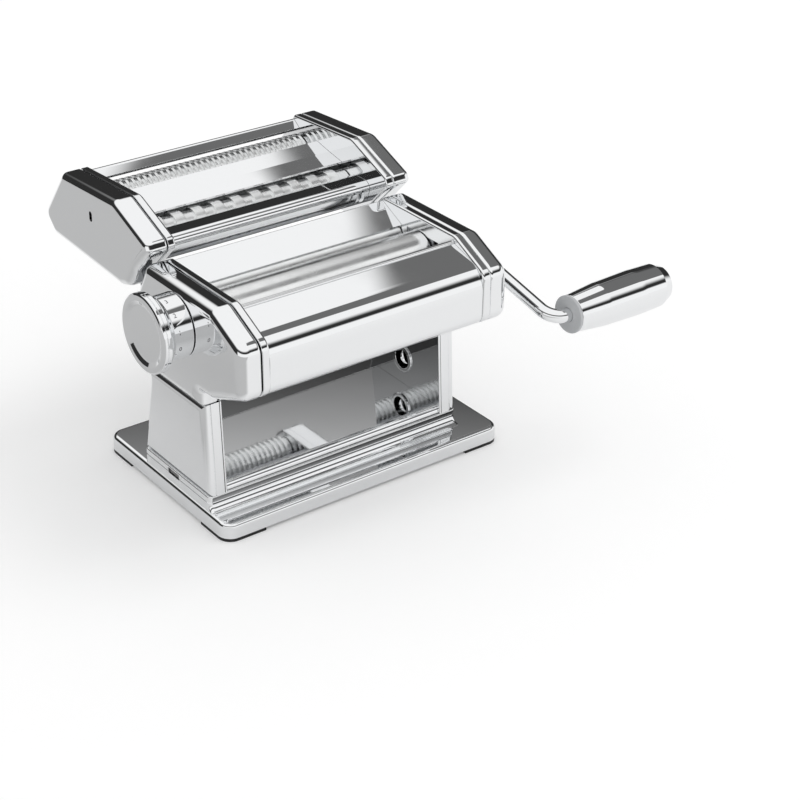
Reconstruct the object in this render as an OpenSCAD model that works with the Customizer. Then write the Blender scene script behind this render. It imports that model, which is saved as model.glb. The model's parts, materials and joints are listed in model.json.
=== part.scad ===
// Hand cranked pasta machine with a double cutter head that lifts off.
// X runs along the rollers to the crank, Y runs back to the cutter head, Z is up.
// Machine zero is mid-width of the rollers, middle of the base's depth, on the table.
// The whole machine is then moved so that zero is the middle of its outline, on the table.

/* [Rollers] */
// Outer diameter of the two smooth rollers
roller_d = 27; // [26:0.5:27.5]
// Thinnest gap between the smooth rollers
gap_min = 0.6; // [0.5:0.1:1]
// How far the gap opens from thinnest to thickest
gap_travel = 4.2; // [3:0.1:4.3]
// Height of the roller axles above the table
axle_z = 117.5; // [117:0.5:119]
// Width between the inner faces of the side plates
inner_w = 140; // [130:1:170]

/* [Base] */
// Depth of the base from front to back
base_d = 126.5; // [122:0.5:134]
// How far the base reaches past the right leg
base_reach = 19.8; // [6:0.2:30]
// Height of the flange of the base above the table
base_z = 11; // [9:0.5:12]
// Height of the raised plinth above the table
plinth_z = 20; // [18:0.5:22]
// Height of the outlet chute above the table
chute_z = 25.5; // [24:0.5:27]

/* [Body] */
// Thickness of the two side plates
plate_t = 4.7; // [4:0.1:5.4]
// Depth of an end cap outside its side plate
cap_w = 13; // [12.6:0.1:15]
// Depth of a leg shell
leg_w = 10.4; // [8:0.2:11]
// Wall of the pressed covers
sheet_t = 1.2; // [0.8:0.1:1.4]
// Height of the flat top of the head
head_top_z = 139; // [138:0.5:142]
// Radius of the clamp hole in the right leg
clamp_r = 6.2; // [5:0.1:7]

/* [Cutters] */
// Width of one wide ribbon
wide_cut = 6.5; // [5:0.5:9]
// Width of one fine ribbon
fine_cut = 1.92; // [1.8:0.02:3]
// Outer radius of the cutting rings
cut_r = 10; // [9.6:0.1:10.1]
// How deep the rings of a pair reach into each other
cut_bite = 1.4; // [1:0.1:1.6]

/* [Crank and knob] */
// Length of the crank arm from axle to axle
crank_len = 103.8; // [80:0.1:104]
// Slope of the crank arm below level
crank_slope = 12.7; // [5:0.1:20]
// Radius of the crank rod
rod_r = 4; // [3.4:0.1:4.2]
// Length of the turning grip
grip_len = 70; // [50:1:90]
// Radius of the grip at its fattest
grip_r = 13.4; // [11:0.1:13.4]
// Radius of the regulator knob
knob_r = 22; // [19:0.5:23]
// Number of thickness settings on the knob
settings = 10; // [6:1:12]

/* [Hidden] */

$fn = 64;
// Overrun of a cut past the face that it goes through
over = 1;
// Gap between pieces of one body that lie face to face
seat = 0.1;
// Radial play of a turning fit
run_fit = 0.06;
// Play of a sliding fit
slide_fit = 0.15;
// Gap between a part that turns and one that stands still
turn_gap = 0.4;
// Gap between a side plate and its pressed cap
cap_seat = 0.3;
// Steps in each rounded corner and in each domed edge
corner_steps = 6;
edge_steps = 4;
// Smallest radius left on an inset corner
least_r = 0.45;

chrome = [0.86, 0.87, 0.89];
satin = [0.76, 0.77, 0.78];
steel = [0.6, 0.61, 0.63];
black = [0.08, 0.08, 0.08];

// Distances from mid-width, going outwards
plate_x0 = inner_w / 2;
plate_x1 = plate_x0 + plate_t;
cap_x0 = plate_x1 + cap_seat;
cap_x1 = cap_x0 + cap_w;
liner_x0 = plate_x0 + plate_t - sheet_t;
leg_x0 = cap_x0;
leg_x1 = leg_x0 + leg_w;
base_x0 = -(cap_x1 - sheet_t);
base_x1 = leg_x1 + base_reach;

// Roller axles
roller_r = roller_d / 2;
rear_y = 0.9;
front_y = rear_y - roller_d - gap_min;
knob_ahead = 23.9;
knob_y = rear_y - knob_ahead;

// Turns a shape drawn in depth and height into a slab from x0, w wide
module slab(x0, w) {
    translate([x0, 0, 0]) rotate([90, 0, 90]) linear_extrude(w) children();
}
// Round bar along X
module bar(x0, x1, y, z, r) {
    translate([x0, y, z]) rotate([0, 90, 0]) cylinder(h = x1 - x0, r = r);
}
// Turned piece along X from an outline of radius and distance along X
module turned(y, z, profile) {
    translate([0, y, z]) rotate([0, 90, 0])
        rotate_extrude() polygon(profile);
}
// Draws its child on the side given by s, 1 for the crank side and -1 for the knob side
module on_side(s) {
    mirror([s < 0 ? 1 : 0, 0, 0]) children();
}

// Rounded outlines: each point is depth, height and corner radius
function unit(v) = v / norm(v);
function flat2(p) = [p[0], p[1]];
function left_turn(a, b, c) = cross(b - a, c - b) > 0 ? 1 : -1;
function corner(a, b, c, r) =
    let (u = unit(a - b), w = unit(c - b),
        half = acos(max(-1, min(1, u * w))) / 2,
        p = b + u * r / tan(half),
        m = b + unit(u + w) * (r / sin(half)),
        a0 = atan2(p[1] - m[1], p[0] - m[0]),
        sweep = left_turn(a, b, c) * (180 - 2 * half))
    [for (i = [0 : corner_steps])
        m + r * [cos(a0 + sweep * i / corner_steps), sin(a0 + sweep * i / corner_steps)]];
function rounded(p) = let (n = len(p))
    [for (i = [0 : n - 1]) each p[i][2] > 0
        ? corner(flat2(p[(i + n - 1) % n]), flat2(p[i]), flat2(p[(i + 1) % n]), p[i][2])
        : [flat2(p[i])]];
function open_rounded(p) = let (n = len(p))
    [for (i = [0 : n - 1]) each (i == 0 || i == n - 1 || p[i][2] == 0)
        ? [flat2(p[i])]
        : corner(flat2(p[i - 1]), flat2(p[i]), flat2(p[i + 1]), p[i][2])];
// The same outline drawn in by t all round
function inset(p, t) = let (n = len(p))
    [for (i = [0 : n - 1])
        let (a = flat2(p[(i + n - 1) % n]), b = flat2(p[i]), c = flat2(p[(i + 1) % n]),
            u = unit(a - b), w = unit(c - b),
            s = left_turn(a, b, c),
            half = acos(max(-1, min(1, u * w))) / 2,
            q = b + unit(u + w) * (s * t / sin(half)))
        [q[0], q[1], p[i][2] > 0 ? max(p[i][2] - s * t, least_r) : 0]];
// Places shares of a depth and a height, with radii as shares of the height
function placed_shares(shares, y0, z0, d, h) =
    [for (s = shares) [y0 + s[0] * d, z0 + s[1] * h, s[2] * h]];
// Bent sheet of thickness t on the right of an open line
function side_step(q, i) = let (n = len(q),
        d = unit(q[min(i + 1, n - 1)] - q[max(i - 1, 0)])) [d[1], -d[0]];
function sheet_points(p, t) = let (q = open_rounded(p))
    concat(q, [for (i = [len(q) - 1 : -1 : 0]) q[i] + side_step(q, i) * t]);

// Slab along X whose outer edge is domed to radius r.
// All corners of the outline can be seen from its first one, where the end faces fan out
function dome_ring(outline, x, t) = [for (q = rounded(inset(outline, t))) [x, q[0], q[1]]];
module domed(outline, x0, w, r) {
    n = len(rounded(outline));
    rings = concat([dome_ring(outline, x0, 0)],
        [for (i = [0 : edge_steps]) let (a = 90 * i / edge_steps)
            dome_ring(outline, x0 + w - r + r * sin(a), r * (1 - cos(a)))]);
    last = len(rings) - 1;
    polyhedron(points = [for (ring = rings) each ring],
        faces = concat(
            [[for (j = [0 : n - 1]) j]],
            [for (k = [0 : last - 1], j = [0 : n - 1]) let (m = (j + 1) % n)
                each [[k * n + j, (k + 1) * n + j, (k + 1) * n + m],
                    [k * n + j, (k + 1) * n + m, k * n + m]]],
            [[for (j = [n : -1 : 1]) last * n + j % n]]));
}
// Pressed cap, open towards the plate
module pressed_cap(outline, x0, w, r) {
    difference() {
        domed(outline, x0, w, r);
        domed(inset(outline, sheet_t), x0 - over, w + over - sheet_t, r - sheet_t);
    }
}

// Outline of the head in shares of its box
head_z0 = 75;
head_d = 103.5;
head_behind = 18.1;
head_back = rear_y + head_behind;
head_y0 = head_back - head_d;
head_h = head_top_z - head_z0;
head_shares = [[0.913, 1, 0.08], [0.266, 1, 0.14], [0.007, 0.797, 0.14], [0, 0.344, 0.12],
    [0.3, 0.15, 0.3], [0.4155, 0.14, 0.03], [0.4165, 0, 0.02], [0.957, 0, 0.05], [1, 0.75, 0.1]];
head_outline = placed_shares(head_shares, head_y0, head_z0, head_d, head_h);
dome_r = 4.4;

// Outline of a leg in shares of its box
leg_front = 45;
leg_y0 = -leg_front;
leg_d = 68.5;
leg_h = head_z0 - plinth_z - seat;
leg_shares = [[0.053, 1, 0], [0, 0, 0], [1, 0, 0], [0.869, 0.836, 0.5], [0.869, 1, 0]];
leg_outline = placed_shares(leg_shares, leg_y0, plinth_z, leg_d, leg_h);
leg_dome_r = 3;

// Base
rim_r = 2.6;
base_corner_r = 8;
foot_z = 2;
foot_len = 26;
foot_w = 9;
foot_rise = 5;
base_mid_x = (base_x0 + base_x1) / 2;
base_w = base_x1 - base_x0;
plinth_corner_r = 3;
// Notch under the left leg where its cover hooks in
notch_in = 37;
notch_y = leg_y0 + notch_in;
notch_len = 11;
notch_h = 4.4;
module corner_plate(x, y, w, d, r, z0, h) {
    translate([x, y, z0]) linear_extrude(h) union() {
        square([w - 2 * r, d], center = true);
        square([w, d - 2 * r], center = true);
        for (i = [-1, 1], j = [-1, 1]) translate([i * (w / 2 - r), j * (d / 2 - r)]) circle(r);
    }
}
// Rounded plate with a rolled upper edge
function plan_ring(w, d, r, z) =
    [for (q = rounded([[-w / 2, -d / 2, r], [w / 2, -d / 2, r], [w / 2, d / 2, r], [-w / 2, d / 2, r]]))
        [q[0], q[1], z]];
module rolled_plate(w, d, r, z0, z1, edge) {
    rings = concat([plan_ring(w, d, r, z0)],
        [for (i = [0 : edge_steps]) let (a = 90 * i / edge_steps, t = edge * (1 - cos(a)))
            plan_ring(w - 2 * t, d - 2 * t, r - t, z1 - edge + edge * sin(a))]);
    n = len(rings[0]);
    last = len(rings) - 1;
    polyhedron(points = [for (ring = rings) each ring],
        faces = concat(
            [[for (j = [0 : n - 1]) j]],
            [for (k = [0 : last - 1], j = [0 : n - 1]) let (m = (j + 1) % n)
                each [[k * n + j, (k + 1) * n + j, (k + 1) * n + m],
                    [k * n + j, (k + 1) * n + m, k * n + m]]],
            [[for (j = [n - 1 : -1 : 0]) last * n + j]]));
}
leg_mid_y = leg_y0 + leg_d / 2;
module base_plate() {
    color(chrome) difference() {
        union() {
            translate([base_mid_x, 0, 0])
                rolled_plate(base_w, base_d, base_corner_r, foot_z, base_z, rim_r);
            corner_plate(0, leg_mid_y, 2 * leg_x1, leg_d, plinth_corner_r,
                base_z - sheet_t, plinth_z - base_z + sheet_t);
        }
        corner_plate(base_mid_x, 0, base_w - 2 * sheet_t, base_d - 2 * sheet_t,
            base_corner_r - sheet_t, foot_z - over, base_z - sheet_t - foot_z + over);
        corner_plate(0, leg_mid_y, 2 * (leg_x1 - sheet_t), leg_d - 2 * sheet_t,
            plinth_corner_r - sheet_t, foot_z - over, plinth_z - sheet_t - foot_z + over);
        translate([-leg_x1 - over, notch_y - notch_len / 2, plinth_z - notch_h])
            cube([over + sheet_t, notch_len, notch_h - sheet_t]);
    }
}
module rubber_feet() {
    color(black) intersection() {
        difference() {
            union() {
                corner_plate(base_mid_x, 0, base_w - 2 * seat, base_d - 2 * seat,
                    base_corner_r - seat, 0, foot_z - seat);
                corner_plate(base_mid_x, 0, base_w - 2 * (sheet_t + seat), base_d - 2 * (sheet_t + seat),
                    base_corner_r - sheet_t - seat, 0, foot_z + foot_rise);
            }
            corner_plate(base_mid_x, 0, base_w - 2 * foot_w, base_d - 2 * foot_w,
                plinth_corner_r, -over, foot_z + foot_rise + 2 * over);
        }
        for (i = [-1, 1], j = [-1, 1])
            translate([base_mid_x + i * (base_w - foot_len) / 2, j * (base_d - foot_len) / 2, 0])
                cube([foot_len, foot_len, base_z * 2], center = true);
    }
}

// Outlet chute between the legs
chute_x = liner_x0 - seat;
chute_lip_r = 5;
chute_back_y = 21;
lip_in = 1.4;
module chute() {
    color(chrome) slab(-chute_x, 2 * chute_x)
        polygon(sheet_points([[leg_y0 + lip_in, plinth_z + seat, 0],
            [leg_y0 + lip_in, chute_z, chute_lip_r], [chute_back_y - chute_lip_r, chute_z, sheet_t * 2],
            [chute_back_y, plinth_z + seat + sheet_t, sheet_t], [chute_back_y, plinth_z + seat, 0]], sheet_t));
}

// Legs
module leg(s) {
    color(chrome) on_side(s) difference() {
        domed(leg_outline, leg_x0, leg_w, leg_dome_r);
        slab(leg_x0 - over, leg_w + over - sheet_t)
            polygon(rounded(inset(leg_outline, sheet_t)));
    }
}
module left_leg() { leg(-1); }
// The clamp's pin goes through the right leg from outside
module right_leg() {
    difference() {
        leg(1);
        bar(leg_x0, leg_x1 + over, clamp_y, clamp_z, clamp_r + seat);
    }
}
clamp_in = 36;
clamp_y = leg_y0 + clamp_in;
clamp_z = 41.5;
collar_w = 2.3;
collar_lip = 0.9;
collar_len = 5;
module liner(s) {
    color(chrome) on_side(s)
        slab(liner_x0, sheet_t) polygon(rounded(inset(leg_outline, seat)));
}
module left_leg_liner() { liner(-1); }
module right_leg_liner() {
    difference() {
        liner(1);
        bar(liner_x0 - over, cap_x1, clamp_y, clamp_z, clamp_r + collar_w - collar_lip + seat);
    }
}
module clamp_collar() {
    color(chrome) turned(clamp_y, clamp_z, [
        [clamp_r, liner_x0 - collar_lip], [clamp_r + collar_w, liner_x0 - collar_lip],
        [clamp_r + collar_w, liner_x0 - seat / 2], [clamp_r + collar_w - collar_lip, liner_x0 - seat / 2],
        [clamp_r + collar_w - collar_lip, liner_x0 + collar_len], [clamp_r, liner_x0 + collar_len]]);
}

// Bearing blocks that carry the front roller and slide in the side plates
journal_r = 7;
bush_r = 9.4;
block_y = 12;
block_z = 12;
front_journal_r = 7;
window_y0 = front_y - block_y - gap_travel;
window_y1 = front_y + block_y;

// Tie rods between the side plates, in shares of the head's box
rod_shares = [[0.164, 0.797], [0.164, 0.375], [0.873, 0.1875]];
rod_places = [for (p = rod_shares) [head_y0 + p[0] * head_d, head_z0 + p[1] * head_h]];
tie_r = 3;

module side_plate(s) {
    color(chrome) on_side(s) difference() {
        slab(plate_x0, plate_t) polygon(rounded(head_outline));
        bar(plate_x0 - over, plate_x1 + over, rear_y, axle_z, bush_r);
        translate([plate_x0 - over, window_y0 - slide_fit, axle_z - block_z - slide_fit])
            cube([plate_t + 2 * over, window_y1 - window_y0 + 2 * slide_fit, 2 * (block_z + slide_fit)]);
        for (p = rod_places) bar(plate_x0 - over, plate_x1 + over, p[0], p[1], tie_r);
    }
}
module left_side_plate() { side_plate(-1); }
module right_side_plate() { side_plate(1); }

// End caps
crank_hole_r = 8;
collar_bush_r = 7;
module left_end_cap() {
    color(chrome) on_side(-1) difference() {
        pressed_cap(head_outline, cap_x0, cap_w, dome_r);
        bar(cap_x1 - dome_r, cap_x1 + over, knob_y, axle_z, collar_bush_r + seat);
    }
}
module right_end_cap() {
    color(chrome) difference() {
        pressed_cap(head_outline, cap_x0, cap_w, dome_r);
        bar(cap_x1 - dome_r, cap_x1 + over, rear_y, axle_z, crank_hole_r + seat);
    }
}
module tie_rods() {
    color(steel) for (p = rod_places) bar(-plate_x1, plate_x1, p[0], p[1], tie_r - seat / 2);
}

// Covers between the side plates, in shares of the head's box
cover_x = plate_x0 - seat;
cover_shares = [[0.275, 0.94, 0], [0.06, 0.83, 0.1], [0.013, 0.67, 0.2],
    [0.013, 0.34, 0.12], [0.15, 0.235, 0]];
bead_r = 1.3;
module front_cover() {
    line = placed_shares(cover_shares, head_y0, head_z0, head_d, head_h);
    color(chrome) {
        slab(-cover_x, 2 * cover_x) polygon(sheet_points([for (i = [len(line) - 1 : -1 : 0]) line[i]], sheet_t));
        bar(-cover_x, cover_x, line[0][0], line[0][1], bead_r);
    }
}
// Hopper plate: its lower edge hangs over the rear roller, its top keeps under the top of the head
hopper_in = 2.62;
hopper_down = 2.24;
hopper_top_in = 4.715;
hopper_drop = 0.96;
module hopper_plate() {
    top = [rear_y + roller_r - hopper_top_in, head_top_z - hopper_drop];
    low = [rear_y - roller_r + hopper_in, axle_z + roller_r - hopper_down];
    color(chrome) {
        slab(-cover_x, 2 * cover_x) polygon(sheet_points([[top[0], top[1] - sheet_t * 3, 0],
            [top[0], top[1], sheet_t], [low[0], low[1], 0]], -sheet_t));
    }
}

// Blades that keep flour off the rollers
blade_l = 2 * block_y - (roller_r + turn_gap) * sqrt(2);
module blade(y, s, x) {
    slab(-x, 2 * x) polygon([[y + s * block_y, axle_z - block_z],
        [y + s * (block_y - blade_l), axle_z - block_z], [y + s * block_y, axle_z - block_z + blade_l]]);
}
module front_scraper() { color(steel) blade(front_y, -1, plate_x0 + seat); }
module rear_scraper() { color(steel) blade(rear_y, 1, plate_x0 - seat); }

// Rails at the back that the cutter head slides down on
rail_z0 = 86;
rail_z1 = 113;
rail_y = 22.4;
rail_t = 2.8;
rail_web = 2;
rail_x = (plate_x0 + plate_x1) / 2;
rail_head = 4.2;
function head_back_y(z) = head_outline[7][0]
    + (head_outline[8][0] - head_outline[7][0]) * (z - head_z0) / (head_outline[8][1] - head_z0);
module rail(s) {
    color(steel) on_side(s) union() {
        slab(rail_x - rail_web / 2, rail_web) polygon([[head_back_y(rail_z0) + seat, rail_z0],
            [rail_y + rail_t, rail_z0], [rail_y + rail_t, rail_z1], [head_back_y(rail_z1) + seat, rail_z1]]);
        slab(rail_x - rail_head / 2, rail_head) polygon([[rail_y, rail_z0], [rail_y + rail_t, rail_z0],
            [rail_y + rail_t, rail_z1], [rail_y, rail_z1]]);
    }
}
module left_rail() { rail(-1); }
module right_rail() { rail(1); }

module roller_bushes() {
    color(steel) for (s = [-1, 1]) on_side(s)
        turned(rear_y, axle_z, [[journal_r + run_fit, plate_x0], [bush_r - seat / 2, plate_x0],
            [bush_r - seat / 2, cap_x0], [journal_r + run_fit, cap_x0]]);
}

// Sliding blocks of the front roller
flange_in = 2;
flange_t = 1.2;
cap_gap = 2.4;
block_x0 = plate_x0 + 2 * seat;
block_x1 = plate_x1 + turn_gap + flange_t;
module block(s, closed) {
    color(steel) on_side(s) difference() {
        union() {
            translate([block_x0, front_y - block_y, axle_z - block_z])
                cube([block_x1 - block_x0, 2 * block_y, 2 * block_z]);
            translate([plate_x1 + turn_gap, front_y - block_y - flange_in, axle_z - block_z - flange_in])
                cube([flange_t, 2 * block_y + flange_in,
                    2 * (block_z + flange_in)]);
            if (closed) bar(block_x1 - flange_t, block_x1 + sheet_t, front_y, axle_z, front_journal_r + cap_gap);
        }
        bar(block_x0 - over, closed ? plate_x1 : block_x1 + over, front_y, axle_z, front_journal_r + run_fit);
    }
}
module left_bearing_block() { block(-1, true); }
module right_bearing_block() { block(1, false); }

// Scroll cam: its groove leads the pin forward at a steady rate as the knob turns
knob_turn = 300;
cam_r = 14;
cam_t = 4.4;
cam_depth = 2.8;
cam_pin_r = 2;
scroll_r0 = 5.6;
scroll_step = 6;
cam_in = 2;
cam_x1 = cap_x1 - cam_in;
cam_x0 = cam_x1 - cam_t;
function scroll_at(a, t) = let (r = scroll_r0 + gap_travel * a / knob_turn + t)
    [r * cos(180 + a), r * sin(180 + a)];
groove_half = cam_pin_r + turn_gap;
groove_run = 30;
module cam_pin() {
    color(steel) on_side(-1)
        bar(block_x1 + sheet_t, cam_x0 + cam_depth - turn_gap, knob_y - scroll_r0, axle_z, cam_pin_r);
}
module regulator_cam() {
    steps = (knob_turn + 2 * groove_run) / scroll_step;
    color(steel) on_side(-1) difference() {
        bar(cam_x0, cam_x1, knob_y, axle_z, cam_r);
        bar(cam_x0 + cam_depth, cam_x1 + over, knob_y, axle_z, shaft_r);
        translate([0, knob_y, axle_z]) slab(cam_x0 - over, cam_depth + over) polygon(concat(
            [for (i = [0 : steps - 1]) scroll_at(i * scroll_step - groove_run, -groove_half)],
            [for (i = [steps - 1 : -1 : 0]) scroll_at(i * scroll_step - groove_run, groove_half)]));
    }
}

// Regulator knob and its shaft, by distance outwards from the left cap
shaft_r = 4;
index_t = 1.6;
index_r = 15.4;
index_ring_r = 12;
index_pin_r = 1.1;
skirt_r = 18;
skirt_t = 1.2;
web_out = 4.4;
web_t = 1.6;
neck_out = 11.8;
knob_out = 20.7;
web_x = cap_x1 + web_out;
knob_x0 = cap_x1 + turn_gap;
knob_x1 = cap_x1 + knob_out;
knob_neck_x = cap_x1 + neck_out;
knob_rim = 5;
knob_dish_r = 17.6;
knob_edge = 1.4;
shaft_head_r = 7;
shaft_in = 5;
shaft_x1 = knob_x1 - shaft_in;
module regulator_collar() {
    color(steel) on_side(-1) difference() {
        turned(knob_y, axle_z, [[shaft_r + run_fit, cam_x1 + turn_gap], [collar_bush_r, cam_x1 + turn_gap],
            [collar_bush_r, cap_x1 + seat], [index_r, cap_x1 + seat],
            [index_r, cap_x1 + index_t], [shaft_r + run_fit, cap_x1 + index_t]]);
        for (i = [0 : settings - 1])
            bar(cap_x1 - over, cap_x1 + index_t + over,
                knob_y - index_ring_r * cos(knob_turn * i / settings),
                axle_z - index_ring_r * sin(knob_turn * i / settings), index_pin_r + slide_fit);
    }
}
module regulator_shaft() {
    color(steel) on_side(-1) turned(knob_y, axle_z, [[0, cam_x0 + cam_depth + seat],
        [shaft_r, cam_x0 + cam_depth + seat], [shaft_r, shaft_x1 - web_t],
        [shaft_head_r, shaft_x1 - web_t], [shaft_head_r, shaft_x1], [0, shaft_x1]]);
}
module regulator_knob() {
    color(chrome) on_side(-1) turned(knob_y, axle_z, [
        [skirt_r - skirt_t, knob_x0], [skirt_r, knob_x0], [skirt_r, knob_neck_x],
        [knob_r - knob_edge, knob_x1 - knob_rim - knob_edge], [knob_r, knob_x1 - knob_rim],
        [knob_r, knob_x1 - knob_edge], [knob_r - knob_edge / 2, knob_x1 - knob_edge / 3],
        [knob_r - knob_edge, knob_x1], [knob_dish_r + knob_edge, knob_x1], [knob_dish_r, knob_x1 - knob_edge],
        [0, knob_x1 - knob_edge], [0, knob_x1 - 2 * knob_edge], [skirt_r - skirt_t, knob_x1 - 2 * knob_edge],
        [skirt_r - skirt_t, web_x + web_t], [shaft_r + run_fit, web_x + web_t],
        [shaft_r + run_fit, web_x], [skirt_r - skirt_t, web_x]]);
}
module index_pin() {
    color(steel) on_side(-1)
        bar(cap_x1 + index_t + turn_gap, web_x, knob_y - index_ring_r, axle_z, index_pin_r);
}
wire_r = 0.55;
spring_r = 5.6;
spring_turns = 2.5;
knob_pull = 3.5;
spring_steps = 16;
wire_sides = 6;
// The spring is drawn pressed together, as it is when the knob is pulled out
spring_x0 = web_x + web_t + knob_pull + wire_r + seat;
spring_x1 = shaft_x1 - web_t - wire_r - seat;
module knob_spring() {
    n = spring_turns * spring_steps;
    function ring(i) = let (a = 360 * i / spring_steps, x = spring_x0 + (spring_x1 - spring_x0) * i / n)
        [for (j = [0 : wire_sides - 1]) let (b = 360 * j / wire_sides, r = spring_r + wire_r * cos(b))
            [x + wire_r * sin(b), knob_y + r * cos(a), axle_z + r * sin(a)]];
    color(steel) on_side(-1) polyhedron(points = [for (i = [0 : n]) each ring(i)],
        faces = concat([[for (j = [wire_sides - 1 : -1 : 0]) j]],
            [for (i = [0 : n - 1], j = [0 : wire_sides - 1]) let (k = (j + 1) % wire_sides)
                each [[i * wire_sides + j, i * wire_sides + k, (i + 1) * wire_sides + k],
                    [i * wire_sides + j, (i + 1) * wire_sides + k, (i + 1) * wire_sides + j]]],
            [[for (j = [0 : wire_sides - 1]) n * wire_sides + j]]));
}

// Spur gears
gear_x0 = block_x1 + turn_gap;
gear_in = 2.4;
gear_x1 = cap_x1 - sheet_t - gear_in;
roller_teeth = 11;
roller_tip_share = 0.5815;
roller_root_share = 0.395;
cutter_teeth = 14;
cutter_tip_share = 0.548;
cutter_root_share = 0.435;
// Parts of one tooth pitch taken by the tooth at its root, middle and tip
root_share = 0.62;
mid_share = 0.42;
tip_share = 0.16;
function gear_points(teeth, tip_r, root_r, start) = let (step = 360 / teeth, mid_r = (tip_r + root_r) / 2)
    [for (i = [0 : teeth - 1]) let (a = start + i * step) each [
        root_r * [cos(a - step * root_share / 2), sin(a - step * root_share / 2)],
        mid_r * [cos(a - step * mid_share / 2), sin(a - step * mid_share / 2)],
        tip_r * [cos(a - step * tip_share / 2), sin(a - step * tip_share / 2)],
        tip_r * [cos(a + step * tip_share / 2), sin(a + step * tip_share / 2)],
        mid_r * [cos(a + step * mid_share / 2), sin(a + step * mid_share / 2)],
        root_r * [cos(a + step * root_share / 2), sin(a + step * root_share / 2)]]];
module gear(y, z, teeth, tip_r, root_r, start, bore_r) {
    color(steel) difference() {
        translate([0, y, z]) slab(gear_x0, gear_x1 - gear_x0)
            polygon(gear_points(teeth, tip_r, root_r, start));
        bar(gear_x0 - over, gear_x1 + over, y, z, bore_r);
    }
}
module front_roller_gear() {
    gear(front_y, axle_z, roller_teeth, (roller_d + gap_min) * roller_tip_share,
        (roller_d + gap_min) * roller_root_share, 180 / roller_teeth, front_journal_r);
}
module rear_roller_gear() {
    gear(rear_y, axle_z, roller_teeth, (roller_d + gap_min) * roller_tip_share,
        (roller_d + gap_min) * roller_root_share, 180, journal_r);
}

// Smooth rollers
roller_x = plate_x0 - turn_gap;
roller_edge = 0.6;
socket_r = rod_r + slide_fit;
socket_len = 22;
drive_x1 = cap_x1 - turn_gap;
module front_roller() {
    color(satin) turned(front_y, axle_z, [[0, -plate_x1 + turn_gap], [front_journal_r, -plate_x1 + turn_gap],
        [front_journal_r, -roller_x], [roller_r - roller_edge, -roller_x], [roller_r, -roller_x + roller_edge],
        [roller_r, roller_x - roller_edge], [roller_r - roller_edge, roller_x],
        [front_journal_r, roller_x], [front_journal_r, gear_x1 + seat], [0, gear_x1 + seat]]);
}
module rear_roller() {
    color(satin) turned(rear_y, axle_z, [[0, -plate_x1 + turn_gap], [journal_r, -plate_x1 + turn_gap],
        [journal_r, -roller_x], [roller_r - roller_edge, -roller_x], [roller_r, -roller_x + roller_edge],
        [roller_r, roller_x - roller_edge], [roller_r - roller_edge, roller_x],
        [journal_r, roller_x], [journal_r, drive_x1], [socket_r, drive_x1],
        [socket_r, drive_x1 - socket_len], [0, drive_x1 - socket_len]]);
}

// Crank
arm_out = 19;
bend_r = 10;
rod_land = 3;
arm_x = cap_x1 + arm_out;
grip_x0 = arm_x + bend_r + rod_land;
grip_x1 = grip_x0 + grip_len;
grip_end_r = 10.8;
grip_wall = 5;
washer_t = 1.8;
washer_r = 11;
washer_gap = 0.2;
socket_gap = 2;
rod_in = socket_len - socket_gap;
crank_y = rear_y - crank_len * cos(crank_slope);
crank_z = axle_z - crank_len * sin(crank_slope);
module crank_bush() {
    color(chrome) turned(rear_y, axle_z, [[journal_r + run_fit, cap_x1 - dome_r / 2],
        [crank_hole_r, cap_x1 - dome_r / 2], [crank_hole_r, cap_x1 + seat],
        [crank_hole_r + sheet_t, cap_x1 + seat], [crank_hole_r + sheet_t, cap_x1 + sheet_t],
        [journal_r + run_fit, cap_x1 + sheet_t]]);
}
module crank_rod() {
    color(chrome) translate([0, rear_y, axle_z]) rotate([crank_slope, 0, 0]) union() {
        bar(drive_x1 - rod_in, arm_x - bend_r, 0, 0, rod_r);
        translate([arm_x - bend_r, -bend_r, 0]) rotate_extrude(angle = 90)
            translate([bend_r, 0]) circle(rod_r);
        translate([arm_x, -bend_r, 0]) rotate([90, 0, 0]) cylinder(h = crank_len - 2 * bend_r, r = rod_r);
        translate([arm_x + bend_r, bend_r - crank_len, 0]) rotate([0, 0, 180]) rotate_extrude(angle = 90)
            translate([bend_r, 0]) circle(rod_r);
        bar(arm_x + bend_r, grip_x1 - grip_wall - turn_gap, -crank_len, 0, rod_r);
    }
}
module grip_washer() {
    color(satin) turned(crank_y, crank_z, [[rod_r + run_fit, grip_x0 - washer_gap - washer_t],
        [washer_r, grip_x0 - washer_gap - washer_t], [washer_r, grip_x0 - washer_gap],
        [rod_r + run_fit, grip_x0 - washer_gap]]);
}
// The grip swells evenly to its fattest and ends in a rounded nose
grip_fat_share = 0.62;
grip_nose = 7;
grip_steps = 10;
module grip_outline() {
    swell = grip_r - grip_end_r;
    body = grip_len - grip_nose;
    polygon(concat([[rod_r + run_fit, grip_x0]],
        [for (i = [0 : grip_steps]) [grip_end_r + swell * sin(90 * min(1, i / (grip_steps * grip_fat_share))),
            grip_x0 + body * i / grip_steps]],
        [for (i = [1 : grip_steps]) let (a = 90 * i / grip_steps)
            [grip_r * pow(cos(a), 0.5), grip_x0 + body + grip_nose * sin(a)]],
        [[0, grip_x1 - grip_wall], [rod_r + run_fit, grip_x1 - grip_wall]]));
}
module crank_grip() {
    color(chrome) translate([0, crank_y, crank_z]) rotate([0, 90, 0]) rotate_extrude() grip_outline();
}

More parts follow.
